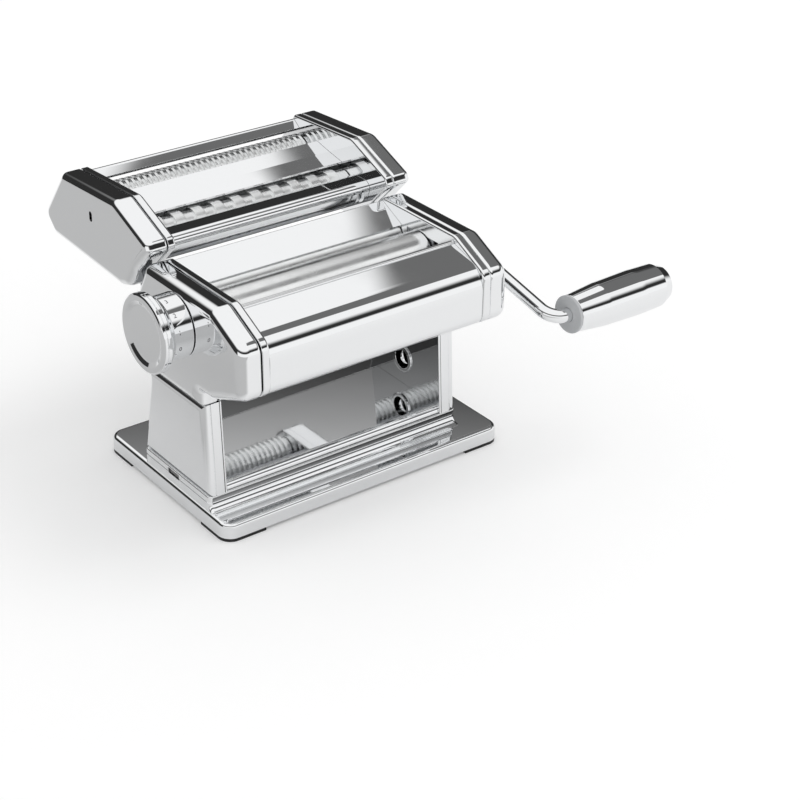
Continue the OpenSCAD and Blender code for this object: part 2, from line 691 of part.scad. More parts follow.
// Outline of the cutter head in shares of its box, which laps over the back of the head
// and hangs below its top; the places in it are shares of the box too
cutter_d = 114.5;
cutter_h = 49;
cutter_lap_share = 30 / 229;
cutter_hang_share = 23 / 49;
cutter_y0 = head_back - cutter_lap_share * cutter_d;
cutter_z0 = head_top_z - cutter_hang_share * cutter_h;
cutter_shares = [[0.82, 0.93, 0.06], [0.306, 1, 0.2], [0.022, 0.735, 0.08], [0, 0.633, 0.06],
    [0.143, 0.286, 0.3], [0.2, 0.06, 0.15], [0.28, 0, 0.2], [0.93, 0.07, 0.15],
    [1.03, 0.29, 0.15]];
cutter_outline = placed_shares(cutter_shares, cutter_y0, cutter_z0, cutter_d, cutter_h);

// Cutter rollers: the front one of each pair takes the crank
cut_gap = 2 * cut_r - cut_bite;
cut_play = 0.25;
cut_root_r = cut_gap - cut_r - cut_play;
wide_shares = [84 / 229, 39 / 98];
wide_y = cutter_y0 + wide_shares[0] * cutter_d;
wide_z = cutter_z0 + wide_shares[1] * cutter_h;
wide_tilt = -12;
fine_shares = [172 / 229, 26 / 49];
fine_y = cutter_y0 + fine_shares[0] * cutter_d;
fine_z = cutter_z0 + fine_shares[1] * cutter_h;
fine_tilt = -32;
cut_journal_r = 6.4;
plain_journal_r = 4.5;
cut_end_gap = 0.5;
cut_x = plate_x0 - cut_end_gap;
side_play = 0.15;
function partner(y, z, tilt) = [y + cut_gap * cos(tilt), z + cut_gap * sin(tilt)];
wide_rear = partner(wide_y, wide_z, wide_tilt);
fine_rear = partner(fine_y, fine_z, fine_tilt);
cutter_rod_shares = [[0.21, 0.327], [0.576, 0.604], [0.69, 0.139]];
cutter_rods = [for (p = cutter_rod_shares) [cutter_y0 + p[0] * cutter_d, cutter_z0 + p[1] * cutter_h]];
cutter_rod_r = 2.4;

module cutter_plate(s) {
    color(chrome) on_side(s) difference() {
        slab(plate_x0, plate_t) polygon(rounded(cutter_outline));
        bar(plate_x0 - over, plate_x1 + over, wide_y, wide_z, cut_journal_r + run_fit);
        bar(plate_x0 - over, plate_x1 + over, fine_y, fine_z, cut_journal_r + run_fit);
        bar(plate_x0 - over, plate_x1 + over, wide_rear[0], wide_rear[1], plain_journal_r + run_fit);
        bar(plate_x0 - over, plate_x1 + over, fine_rear[0], fine_rear[1], plain_journal_r + run_fit);
        for (p = cutter_rods) bar(plate_x0 - over, plate_x1 + over, p[0], p[1], cutter_rod_r);
    }
}
module cutter_left_plate() { cutter_plate(-1); }
module cutter_right_plate() { cutter_plate(1); }
slot_shares = [122 / 229, 31 / 49];
slot_y = cutter_y0 + slot_shares[0] * cutter_d;
slot_z = cutter_z0 + slot_shares[1] * cutter_h;
slot_d = 3;
slot_h = 6;
module cutter_left_cap() {
    color(chrome) on_side(-1) difference() {
        pressed_cap(cutter_outline, cap_x0, cap_w, dome_r);
        translate([cap_x1 - dome_r, slot_y - slot_d / 2, slot_z - slot_h / 2])
            cube([dome_r + over, slot_d, slot_h]);
    }
}
module cutter_right_cap() {
    color(chrome) difference() {
        pressed_cap(cutter_outline, cap_x0, cap_w, dome_r);
        bar(cap_x1 - dome_r, cap_x1 + over, wide_y, wide_z, cut_journal_r + turn_gap);
        bar(cap_x1 - dome_r, cap_x1 + over, fine_y, fine_z, cut_journal_r + turn_gap);
    }
}
module cutter_tie_rods() {
    color(steel) for (p = cutter_rods) bar(-plate_x1, plate_x1, p[0], p[1], cutter_rod_r - seat / 2);
}
module cutter_strip(shares) {
    color(chrome) slab(-cover_x, 2 * cover_x) polygon(sheet_points(
        placed_shares(shares, cutter_y0, cutter_z0, cutter_d, cutter_h), sheet_t));
}
module cutter_back_plate() {
    cutter_strip([[0.768, 0.8, 0], [0.828, 0.9, 0.06], [0.893, 0.66, 0]]);
}
module cutter_middle_bar() {
    cutter_strip([[0.388, 0.648, 0], [0.498, 0.695, 0.1], [0.607, 0.75, 0]]);
}
module cutter_front_plate() {
    cutter_strip([[0.17, 0.33, 0], [0.133, 0.575, 0.04], [0.262, 0.575, 0.04], [0.293, 0.555, 0]]);
}

// Shoes that hold the cutter head on the rails
shoe_wall = 1.8;
shoe_z0 = rail_z0 + slide_fit;
shoe_lip = 1.6;
shoe_y1 = rail_y + rail_t + slide_fit + shoe_wall;
shoe_reach = 10;
shoe_top = 5;
module shoe(s) {
    half = rail_head / 2 + slide_fit;
    color(steel) on_side(s) difference() {
        union() {
            translate([rail_x - half - shoe_wall, rail_y - slide_fit - shoe_lip, shoe_z0])
                cube([2 * (half + shoe_wall), shoe_y1 - rail_y + slide_fit + shoe_lip,
                    cutter_z0 - seat - shoe_z0]);
            translate([plate_x0 + seat, shoe_y1 - over, cutter_z0 - seat - shoe_top])
                cube([plate_t - 2 * seat, shoe_reach + over, shoe_top]);
        }
        translate([rail_x - half, rail_y - slide_fit, shoe_z0 - over])
            cube([2 * half, rail_t + 2 * slide_fit, rail_z1 - shoe_z0 + over + slide_fit]);
        translate([rail_x - rail_web / 2 - slide_fit, rail_y - slide_fit - shoe_lip - over, shoe_z0 - over])
            cube([rail_web + 2 * slide_fit, shoe_lip + 2 * over, rail_z1 - shoe_z0 + over + slide_fit]);
    }
}
module cutter_left_shoe() { shoe(-1); }
module cutter_right_shoe() { shoe(1); }

// Rings along a cutter roller: half of a pair has one ring less, centred between the others
function ring_count(cut) = floor(2 * cut_x / (2 * cut));
function ring_corners(cut, count) = [for (i = [0 : count - 1])
    let (c = (i - (count - 1) / 2) * 2 * cut, h = (cut - side_play) / 2)
    each [[cut_root_r, c - h], [cut_r, c - h], [cut_r, c + h], [cut_root_r, c + h]]];
module cutter_roller(y, z, cut, count, left_r, right_profile) {
    color(satin) turned(y, z, concat([[0, turn_gap - plate_x1], [left_r, turn_gap - plate_x1],
        [left_r, -cut_x], [cut_root_r, -cut_x]], ring_corners(cut, count),
        [[cut_root_r, cut_x]], right_profile));
}
drive_end = [[cut_journal_r, cut_x], [cut_journal_r, drive_x1], [socket_r, drive_x1],
    [socket_r, drive_x1 - socket_len], [0, drive_x1 - socket_len]];
plain_end = [[plain_journal_r, cut_x], [plain_journal_r, gear_x1 + seat], [0, gear_x1 + seat]];
module wide_front_cutter() {
    cutter_roller(wide_y, wide_z, wide_cut, ring_count(wide_cut), cut_journal_r, drive_end);
}
module wide_rear_cutter() {
    cutter_roller(wide_rear[0], wide_rear[1], wide_cut, ring_count(wide_cut) - 1, plain_journal_r, plain_end);
}
module fine_front_cutter() {
    cutter_roller(fine_y, fine_z, fine_cut, ring_count(fine_cut), cut_journal_r, drive_end);
}
module fine_rear_cutter() {
    cutter_roller(fine_rear[0], fine_rear[1], fine_cut, ring_count(fine_cut) - 1, plain_journal_r, plain_end);
}

// Combs that lift the ribbons out of the grooves of the front rollers
comb_at = -120;
comb_t = 1.2;
comb_bar = 4;
finger_play = 0.8;
module comb(y, z, cut, count) {
    color(steel) translate([0, y, z]) rotate([comb_at, 0, 0]) union() {
        translate([-cover_x, cut_r + turn_gap, -comb_bar / 2]) cube([2 * cover_x, comb_bar, comb_bar]);
        for (i = [1 : count - 1])
            translate([(i - count / 2) * 2 * cut - (cut - finger_play) / 2, cut_root_r + turn_gap, -comb_t / 2])
                cube([cut - finger_play, cut_r - cut_root_r + over, comb_t]);
    }
}
module wide_comb() { comb(wide_y, wide_z, wide_cut, ring_count(wide_cut)); }
module fine_comb() { comb(fine_y, fine_z, fine_cut, ring_count(fine_cut)); }

module cutter_gear(p, start, bore_r) {
    gear(p[0], p[1], cutter_teeth, cut_gap * cutter_tip_share, cut_gap * cutter_root_share, start, bore_r);
}
module wide_front_gear() { cutter_gear([wide_y, wide_z], wide_tilt, cut_journal_r); }
module wide_rear_gear() { cutter_gear(wide_rear, wide_tilt + 180 + 180 / cutter_teeth, plain_journal_r); }
module fine_front_gear() { cutter_gear([fine_y, fine_z], fine_tilt, cut_journal_r); }
module fine_rear_gear() { cutter_gear(fine_rear, fine_tilt + 180 + 180 / cutter_teeth, plain_journal_r); }

// Middle of the whole outline
mid_x = (grip_x1 - knob_x1) / 2;
mid_y = (crank_y - grip_r + max([for (q = rounded(cutter_outline)) q[0]])) / 2;
module placed() { translate([-mid_x, -mid_y, 0]) children(); }

placed() base_plate();
placed() rubber_feet();
placed() chute();
placed() left_leg();
placed() right_leg();
placed() left_leg_liner();
placed() right_leg_liner();
placed() clamp_collar();
placed() left_side_plate();
placed() right_side_plate();
placed() left_end_cap();
placed() right_end_cap();
placed() tie_rods();
placed() front_cover();
placed() hopper_plate();
placed() rear_scraper();
placed() left_rail();
placed() right_rail();
placed() roller_bushes();
placed() left_bearing_block();
placed() right_bearing_block();
placed() front_scraper();
placed() cam_pin();
placed() front_roller();
placed() front_roller_gear();
placed() rear_roller();
placed() rear_roller_gear();
placed() crank_rod();
placed() grip_washer();
placed() crank_grip();
placed() crank_bush();
placed() regulator_collar();
placed() regulator_shaft();
placed() regulator_cam();
placed() regulator_knob();
placed() index_pin();
placed() knob_spring();
placed() cutter_left_plate();
placed() cutter_right_plate();
placed() cutter_left_cap();
placed() cutter_right_cap();
placed() cutter_back_plate();
placed() cutter_middle_bar();
placed() cutter_front_plate();
placed() cutter_tie_rods();
placed() cutter_left_shoe();
placed() cutter_right_shoe();
placed() wide_comb();
placed() fine_comb();
placed() wide_front_cutter();
placed() wide_rear_cutter();
placed() fine_front_cutter();
placed() fine_rear_cutter();
placed() wide_front_gear();
placed() wide_rear_gear();
placed() fine_front_gear();
placed() fine_rear_gear();
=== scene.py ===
"""Looks of a hand cranked pasta machine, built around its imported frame.

Lengths below are millimetres of the machine's own frame: X along the rollers to the crank,
Y back to the cutter head, Z up, with zero at mid-width, middle of the base's depth, on the table.
"""

from __future__ import annotations

import json
import logging
import math
from dataclasses import dataclass, field
from enum import Enum
from typing import Any, Sequence

import bmesh
import bpy
from mathutils import Matrix, Vector

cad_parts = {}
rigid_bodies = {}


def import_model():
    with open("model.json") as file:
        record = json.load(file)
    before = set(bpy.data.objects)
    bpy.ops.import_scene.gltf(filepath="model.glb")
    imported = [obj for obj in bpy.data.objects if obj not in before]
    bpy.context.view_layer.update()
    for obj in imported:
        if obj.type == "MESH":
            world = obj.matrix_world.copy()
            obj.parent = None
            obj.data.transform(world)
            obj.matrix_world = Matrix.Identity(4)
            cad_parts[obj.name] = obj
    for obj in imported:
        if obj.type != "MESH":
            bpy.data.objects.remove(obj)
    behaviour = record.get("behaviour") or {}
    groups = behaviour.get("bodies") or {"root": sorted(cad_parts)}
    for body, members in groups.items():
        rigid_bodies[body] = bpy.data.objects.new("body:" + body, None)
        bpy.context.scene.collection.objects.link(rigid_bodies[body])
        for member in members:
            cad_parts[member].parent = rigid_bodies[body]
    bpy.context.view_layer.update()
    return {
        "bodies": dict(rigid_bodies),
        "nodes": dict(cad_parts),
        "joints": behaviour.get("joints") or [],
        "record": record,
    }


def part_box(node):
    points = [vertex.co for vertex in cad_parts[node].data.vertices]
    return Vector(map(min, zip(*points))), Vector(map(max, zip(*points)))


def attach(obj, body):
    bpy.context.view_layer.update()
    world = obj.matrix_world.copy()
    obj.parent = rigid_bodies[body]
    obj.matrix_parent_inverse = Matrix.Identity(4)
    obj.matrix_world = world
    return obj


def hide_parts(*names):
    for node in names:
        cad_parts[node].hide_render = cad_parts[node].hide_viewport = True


LOG = logging.getLogger("pasta_machine")
MM = 0.001
Corner = tuple[float, float, float]
Flat = tuple[float, float]

# Points nearer to each other than this are merged, in metres
MERGED = 2e-7
# A point nearer to the axis than this is a pole
POLE = 1e-6
# Angles between two faces past which their edge is broken, and past which it shades sharp
BROKEN_PAST = 38.0
SHARP_PAST = 34.0
# How much more the large faces count in smooth shading
FACE_WEIGHT = 80
BEVEL_STEPS = 3
# Steps in the rolled edge of a pressed cover, of a flat plate and of a bar
ROLL_STEPS = 10
PLATE_STEPS = 6
BAR_STEPS = 5
# Marks to the metre round a turned piece, which is next to none
ROUND_MARKS = 6.0


class Side(Enum):
    """The two ends of the rollers."""

    KNOB = -1
    CRANK = 1

    @property
    def word(self) -> str:
        """Word used in the names of the pieces on this side."""
        return "left" if self is Side.KNOB else "right"

    def span(self, reach: Flat) -> list[float]:
        """Places along X of two distances from mid-width, the lower one first."""
        return sorted(self.value * x for x in reach)


class Edge(Enum):
    """How the sharp edges of a piece are broken, in millimetres."""

    KEEN = 0.0
    FINE = 0.12


class Work(Enum):
    """What a form does to a piece."""

    CUT = "DIFFERENCE"
    JOIN = "UNION"


# Outlines


def opening(a: Vector, b: Vector, c: Vector) -> tuple[Vector, float, int]:
    """Measures a corner.

    Args:
        a: Point before the corner.
        b: The corner.
        c: Point after the corner.

    Returns:
        The direction midway between its two legs, half its angle, and 1 for a turn to the left or
        -1 for one to the right.
    """
    u, w = (a - b).normalized(), (c - b).normalized()
    half = math.acos(max(-1.0, min(1.0, u.dot(w)))) / 2
    return (u + w).normalized(), half, 1 if (b - a).cross(c - b) > 0 else -1


def arc(a: Vector, b: Vector, c: Vector, radius: float, steps: int) -> list[Vector]:
    """Rounds one corner.

    Args:
        a: Point before the corner.
        b: The corner.
        c: Point after the corner.
        radius: Radius of the corner.
        steps: Number of steps in the arc.

    Returns:
        The points of the arc, from the side of a to the side of c.
    """
    midway, half, sign = opening(a, b, c)
    start = b + (a - b).normalized() * radius / math.tan(half)
    middle = b + midway * radius / math.sin(half)
    from_angle = math.atan2(start.y - middle.y, start.x - middle.x)
    sweep = sign * (math.pi - 2 * half)
    turns = [from_angle + sweep * i / steps for i in range(steps + 1)]
    return [middle + radius * Vector((math.cos(t), math.sin(t))) for t in turns]


def rounded(corners: Sequence[Corner], steps: int = 12, closed: bool = True) -> list[Vector]:
    """Rounds the corners of an outline.

    Args:
        corners: The two places and the radius of each corner.
        steps: Number of steps in each rounded corner.
        closed: Whether the last corner joins the first.

    Returns:
        The points of the rounded outline.
    """
    flat = [Vector(p[:2]) for p in corners]
    count = len(flat)
    points: list[Vector] = []
    for i, p in enumerate(corners):
        ends = not closed and i in (0, count - 1)
        if ends or p[2] <= 0:
            points.append(flat[i])
        else:
            points += arc(flat[i - 1], flat[i], flat[(i + 1) % count], p[2], steps)
    return points


def inset(corners: Sequence[Corner], depth: float, least: float = 0.45) -> list[Corner]:
    """Draws an outline in by the same depth all round.

    Args:
        corners: Depth, height and radius of each corner, going round to the left.
        depth: How far it is drawn in.
        least: Smallest radius left on a rounded corner.

    Returns:
        The corners of the new outline.
    """
    flat = [Vector(p[:2]) for p in corners]
    count = len(flat)
    out: list[Corner] = []
    for i, p in enumerate(corners):
        midway, half, sign = opening(flat[i - 1], flat[i], flat[(i + 1) % count])
        q = flat[i] + midway * (sign * depth / math.sin(half))
        out.append((q.x, q.y, max(p[2] - sign * depth, least) if p[2] > 0 else 0.0))
    return out


@dataclass(frozen=True)
class Box:
    """Box that an outline is given in shares of."""

    depth_from: float
    height_from: float
    depth: float
    height: float

    def point(self, share: Sequence[float]) -> Flat:
        """Depth and height at a share of the box's depth and height."""
        return self.depth_from + share[0] * self.depth, self.height_from + share[1] * self.height

    def place(self, shares: Sequence[Corner]) -> list[Corner]:
        """Turns shares of the box into an outline, its radii being shares of the height."""
        return [(*self.point(s), s[2] * self.height) for s in shares]


def sheet_section(line: Sequence[Corner], thickness: float, steps: int = 14) -> list[Vector]:
    """Section of a bent sheet.

    Args:
        line: Corners of one face of the sheet, along the bend.
        thickness: Thickness, on the right of the line where it is positive.
        steps: Number of steps in each bend.

    Returns:
        The closed section.
    """
    face = rounded(line, steps, closed=False)
    last = len(face) - 1
    back: list[Vector] = []
    for i, p in enumerate(face):
        run = (face[min(i + 1, last)] - face[max(i - 1, 0)]).normalized()
        back.append(p + Vector((run.y, -run.x)) * thickness)
    return face + back[::-1]


# Meshes


@dataclass
class Skin:
    """A mesh that is put together ring by ring."""

    points: list[Vector] = field(default_factory=list)
    faces: list[tuple[int, ...]] = field(default_factory=list)

    def ring(self, points: Sequence[Vector]) -> list[int]:
        """Adds the points of one ring.

        Args:
            points: The ring's points, in order.

        Returns:
            Their numbers in the mesh.
        """
        start = len(self.points)
        self.points += points
        return list(range(start, start + len(points)))

    def bridge(self, a: Sequence[int], b: Sequence[int]) -> None:
        """Joins two rings with faces; a ring of one point closes to a pole.

        Args:
            a: Numbers of the first ring's points.
            b: Numbers of the second ring's points.
        """
        count = max(len(a), len(b))
        if count == 1:
            return
        for j in range(count):
            k = (j + 1) % count
            if len(a) == 1:
                self.faces.append((a[0], b[j], b[k]))
            elif len(b) == 1:
                self.faces.append((a[j], b[0], a[k]))
            else:
                self.faces.append((a[j], b[j], b[k], a[k]))

    def loft(self, rings: Sequence[Sequence[Vector]], looped: bool = False) -> Skin:
        """Adds a closed form that runs through rings.

        Args:
            rings: Rings with the same number of points; one point makes a pole.
            looped: Whether the last ring joins the first, as on a hollow ring.

        Returns:
            The mesh itself.
        """
        made = [self.ring(r) for r in rings]
        for a, b in zip(made, made[1:]):
            self.bridge(a, b)
        if looped:
            self.bridge(made[-1], made[0])
        else:
            for end in (made[0], made[-1]):
                if len(end) > 1:
                    self.faces.append(tuple(end))
        return self


def along_x(outline: Sequence[Vector], x: float) -> list[Vector]:
    """Stands a flat outline up at a distance along X."""
    return [Vector((x, p.x, p.y)) for p in outline]


def domed_rings(
    corners: Sequence[Corner], x0: float, x1: float, r0: float, r1: float, side: Side, steps: int = ROLL_STEPS
) -> list[list[Vector]]:
    """Rings of a slab whose two edges are rounded.

    Args:
        corners: Outline of the slab.
        x0: Distance of its inner face from mid-width.
        x1: Distance of its outer face from mid-width.
        r0: Radius of the inner edge, or 0.
        r1: Radius of the outer edge, or 0.
        side: The side of the machine that it is on.
        steps: Number of steps in each rounded edge.

    Returns:
        The rings from the inner face to the outer face.
    """
    turns = [math.pi / 2 * i / steps for i in range(steps + 1)]
    inner, outer = [(x0, 0.0)], [(x1, 0.0)]
    if r0 > 0:
        inner = [(x0 + r0 * (1 - math.sin(t)), r0 * (1 - math.cos(t))) for t in turns[::-1]]
    if r1 > 0:
        outer = [(x1 - r1 * (1 - math.sin(t)), r1 * (1 - math.cos(t))) for t in turns]
    return [
        along_x(rounded(inset(corners, draw) if draw > 0 else corners), side.value * x)
        for x, draw in inner + outer
    ]


def turned_rings(profile: Sequence[Vector], y: float, z: float, sides: int) -> list[list[Vector]]:
    """Rings of a piece turned about a line along X.

    Args:
        profile: Radius and distance along X of each point.
        y: Depth of the line.
        z: Height of the line.
        sides: Number of points round it.

    Returns:
        One ring for each point of the profile, and one point where it reaches the line.
    """
    turns = [2 * math.pi * j / sides for j in range(sides)]
    return [
        [Vector((p.y, y, z))]
        if p.x <= POLE
        else [Vector((p.y, y + p.x * math.cos(t), z + p.x * math.sin(t))) for t in turns]
        for p in profile
    ]


@dataclass(frozen=True)
class Shop:
    """Makes finished objects out of meshes given in the machine's own millimetres."""

    origin: Vector

    @classmethod
    def from_frame(cls) -> Shop:
        """Finds the machine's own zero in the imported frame.

        Returns:
            The shop that places pieces in that frame.
        """
        left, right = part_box("left_side_plate"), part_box("right_side_plate")
        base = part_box("base_plate")
        return cls(Vector(((left[0].x + right[1].x) / 2, (base[0].y + base[1].y) / 2, 0.0)))

    def at(self, x: float, y: float, z: float) -> Vector:
        """Place in the shared frame, in metres, of a point of the machine."""
        return self.origin + Vector((x, y, z)) * MM

    def make(self, name: str, skin: Skin) -> bpy.types.Object:
        """Turns a mesh into an object with clean, outward faces.

        Args:
            name: Name of the object.
            skin: The mesh, in millimetres.

        Returns:
            The new object.
        """
        mesh = bpy.data.meshes.new(name)
        mesh.from_pydata([self.origin + p * MM for p in skin.points], [], skin.faces)
        piece = bpy.data.objects.new(name, mesh)
        bpy.context.scene.collection.objects.link(piece)
        clean(piece)
        return piece

    def work(self, piece: bpy.types.Object, forms: Sequence[Skin], work: Work = Work.CUT) -> None:
        """Cuts forms out of a piece, or joins them to it.

        Args:
            piece: The piece.
            forms: The forms, in millimetres.
            work: Whether they are cut out or joined.
        """
        for form in forms:
            tool = self.make("shop_tool", form)
            step = piece.modifiers.new("shop_work", "BOOLEAN")
            step.operation = work.value
            step.solver = "EXACT"
            step.object = tool
            settle(piece)
            bpy.data.objects.remove(tool)
        clean(piece)


def clean(piece: bpy.types.Object) -> None:
    """Merges doubles and turns all faces of an object outwards.

    Args:
        piece: The object.
    """
    work = bmesh.new()
    work.from_mesh(piece.data)
    bmesh.ops.remove_doubles(work, verts=work.verts, dist=MERGED)
    bmesh.ops.dissolve_degenerate(work, edges=work.edges, dist=MERGED)
    bmesh.ops.recalc_face_normals(work, faces=work.faces)
    work.to_mesh(piece.data)
    work.free()


def settle(piece: bpy.types.Object) -> None:
    """Turns what an object's modifiers make of it into plain mesh.

    Args:
        piece: The object.
    """
    view = bpy.context.evaluated_depsgraph_get()
    mesh = bpy.data.meshes.new_from_object(piece.evaluated_get(view))
    old = piece.data
    piece.modifiers.clear()
    piece.data = mesh
    if old.users == 0 and isinstance(old, bpy.types.Mesh):
        bpy.data.meshes.remove(old)


def polish(piece: bpy.types.Object, edge: Edge) -> None:
    """Breaks the sharp edges of an object and smooths its shading as polishing does.

    Args:
        piece: The object.
        edge: How its sharp edges are broken.
    """
    if edge is not Edge.KEEN:
        bevel = piece.modifiers.new("broken_edges", "BEVEL")
        bevel.width = edge.value * MM
        bevel.segments = BEVEL_STEPS
        bevel.limit_method = "ANGLE"
        bevel.angle_limit = math.radians(BROKEN_PAST)
        bevel.use_clamp_overlap = True
        settle(piece)
    mesh = piece.data
    mesh.polygons.foreach_set("use_smooth", [True] * len(mesh.polygons))
    mesh.set_sharp_from_angle(angle=math.radians(SHARP_PAST))
    weigh = piece.modifiers.new("flat_faces_first", "WEIGHTED_NORMAL")
    weigh.keep_sharp = True
    weigh.weight = FACE_WEIGHT
    settle(piece)


# Finishes


def linear(code: str) -> tuple[float, float, float, float]:
    """Turns an sRGB hex colour into linear light.

    Args:
        code: Six hex digits after a number sign.

    Returns:
        Linear red, green and blue, and full alpha.
    """
    parts = [int(code[i : i + 2], 16) / 255 for i in (1, 3, 5)]
    r, g, b = (c / 12.92 if c <= 0.04045 else ((c + 0.055) / 1.055) ** 2.4 for c in parts)
    return (r, g, b, 1.0)


def add(
    tree: bpy.types.NodeTree, kind: str, settings: dict[str, Any], inputs: dict[Any, Any]
) -> bpy.types.Node:
    """Adds a node to a tree.

    Args:
        tree: The tree.
        kind: Kind of node.
        settings: The node's settings by name.
        inputs: For each socket, by name or number, a value or the socket that feeds it.

    Returns:
        The new node.
    """
    made = tree.nodes.new(kind)
    for name, value in settings.items():
        setattr(made, name, value)
    for key, value in inputs.items():
        if isinstance(value, bpy.types.NodeSocket):
            tree.links.new(value, made.inputs[key])
        else:
            made.inputs[key].default_value = value
    return made


def per_metre(size_mm: float) -> float:
    """Scale of a pattern whose marks are so many millimetres apart."""
    return 1 / (size_mm * MM)


@dataclass(frozen=True)
class Finish:
    """What every surface has: its slot in the record, its colour and how it takes the light.

    The roughness moves between its two values in patches, and the waves are the surface's own relief.
    """

    name: str
    slot: str
    colour: str
    metallic: float
    roughness: tuple[float, float]
    patch_mm: float
    wave_mm: float
    wave_depth_mm: float

    def grain(self, tree: bpy.types.NodeTree, place: bpy.types.NodeSocket) -> bpy.types.NodeSocket:
        """Height of the surface, as slow waves left by the press or the mould.

        Args:
            tree: The material's tree.
            place: Object coordinates.

        Returns:
            The socket that gives the height from 0 to 1.
        """
        waves = add(tree, "ShaderNodeTexNoise", {},
                    {"Vector": place, "Scale": per_metre(self.wave_mm), "Detail": 1.0, "Roughness": 0.4})
        return waves.outputs["Fac"]

    def tint(self, tree: bpy.types.NodeTree, place: bpy.types.NodeSocket) -> None | bpy.types.NodeSocket:
        """Colour that changes over the surface, if it does."""
        return None

    def material(self) -> bpy.types.Material:
        """Builds the material, or gives the one that was built before.

        Returns:
            The material.
        """
        known = bpy.data.materials.get(self.name)
        if known:
            return known
        made = bpy.data.materials.new(self.name)
        made.use_nodes = True
        tree = made.node_tree
        tree.nodes.clear()
        place = add(tree, "ShaderNodeTexCoord", {}, {}).outputs["Object"]
        patches = add(tree, "ShaderNodeTexNoise", {},
                      {"Vector": place, "Scale": per_metre(self.patch_mm), "Detail": 4.0, "Roughness": 0.6})
        # The noise seldom leaves 0.38 to 0.68, so that stretch is spread over the whole range
        wear = add(tree, "ShaderNodeMapRange", {},
                   {"Value": patches.outputs["Fac"], "From Min": 0.38, "From Max": 0.68,
                    "To Min": self.roughness[0], "To Max": self.roughness[1]})
        bump = add(tree, "ShaderNodeBump", {},
                   {"Height": self.grain(tree, place), "Distance": self.wave_depth_mm * MM, "Strength": 1.0})
        shader = add(tree, "ShaderNodeBsdfPrincipled", {},
                     {"Base Color": self.tint(tree, place) or linear(self.colour), "Metallic": self.metallic,
                      "Roughness": wear.outputs["Result"], "Normal": bump.outputs["Normal"]})
        add(tree, "ShaderNodeOutputMaterial", {}, {"Surface": shader.outputs["BSDF"]})
        return made


@dataclass(frozen=True)
class TurnedFinish(Finish):
    """A surface that was turned or ground on a lathe, with fine rings across the roller."""

    ring_mm: float

    def grain(self, tree: bpy.types.NodeTree, place: bpy.types.NodeSocket) -> bpy.types.NodeSocket:
        """Height of the surface, as fine rings that change along X and hardly round the roller.

        Args:
            tree: The material's tree.
            place: Object coordinates.

        Returns:
            The socket that gives the height from 0 to 1.
        """
        scale = (per_metre(self.ring_mm), ROUND_MARKS, ROUND_MARKS)
        rings = add(tree, "ShaderNodeMapping", {}, {"Vector": place, "Scale": scale})
        marks = add(tree, "ShaderNodeTexNoise", {},
                    {"Vector": rings.outputs["Vector"], "Scale": 1.0, "Detail": 2.0})
        return marks.outputs["Fac"]


@dataclass(frozen=True)
class SpeckledFinish(Finish):
    """A surface with a fine speckle in its colour."""

    speckle: str
    speckle_mm: float

    def tint(self, tree: bpy.types.NodeTree, place: bpy.types.NodeSocket) -> None | bpy.types.NodeSocket:
        """Colour that moves between the finish's own and its speckle.

        Args:
            tree: The material's tree.
            place: Object coordinates.

        Returns:
            The socket that gives the colour.
        """
        dots = add(tree, "ShaderNodeTexNoise", {},
                   {"Vector": place, "Scale": per_metre(self.speckle_mm), "Detail": 3.0})
        mixed = add(tree, "ShaderNodeMix", {"data_type": "RGBA"},
                    {0: dots.outputs["Fac"], 6: linear(self.colour), 7: linear(self.speckle)})
        return mixed.outputs[2]


# Mirror chrome on pressed steel: sharp reflections that sway a little where the press left its waves,
# and a faint haze in patches where it was wiped
CHROME = Finish("mirror_chrome", "chromed_steel", "#F1F2F3", 1.0, (0.025, 0.055), 26.0, 42.0, 0.02)
# Chrome on flat, ground steel: nearly the same colour, straighter reflections
FLAT_CHROME = Finish("flat_chrome", "chromed_steel", "#EFF0F1", 1.0, (0.02, 0.045), 30.0, 60.0, 0.012)
# Anodised aluminium, ground between centres: soft reflections drawn out along the roller
GROUND_ALUMINIUM = TurnedFinish(
    "ground_aluminium", "anodised_aluminium", "#F3F4F4", 1.0, (0.2, 0.28), 18.0, 1.0, 0.0012, 0.8)
# Anodised aluminium cutter rings, turned: duller and a little greyer than the smooth rollers
CUT_ALUMINIUM = TurnedFinish(
    "turned_aluminium", "anodised_aluminium", "#F0F1F1", 1.0, (0.26, 0.34), 8.0, 1.0, 0.001, 0.5)
# Bright zinc plated steel of the hidden parts: greyer, with soft reflections
ZINC_STEEL = SpeckledFinish(
    "zinc_plated_steel", "plain_steel", "#A3A5A8", 1.0, (0.26, 0.38), 9.0, 3.0, 0.004, "#8F9194", 2.0)
# Acetal washer: pale grey, smooth, with a soft moulded shine
ACETAL = SpeckledFinish(
    "moulded_acetal", "grey_washer", "#BFC1C3", 0.0, (0.32, 0.42), 6.0, 2.0, 0.004, "#B6B8BA", 1.5)
# Moulded rubber: black, matt, with a fine speckle from the mould
RUBBER = SpeckledFinish(
    "moulded_rubber", "black_rubber", "#0B0B0C", 0.0, (0.6, 0.75), 5.0, 0.9, 0.02, "#1A1A1B", 1.0)
# Dark enamel of the knob's numbers: nearly black, with a soft shine
INK = SpeckledFinish(
    "dark_enamel", "chromed_steel", "#1B1B1D", 0.0, (0.3, 0.42), 4.0, 1.0, 0.003, "#27272A", 0.6)


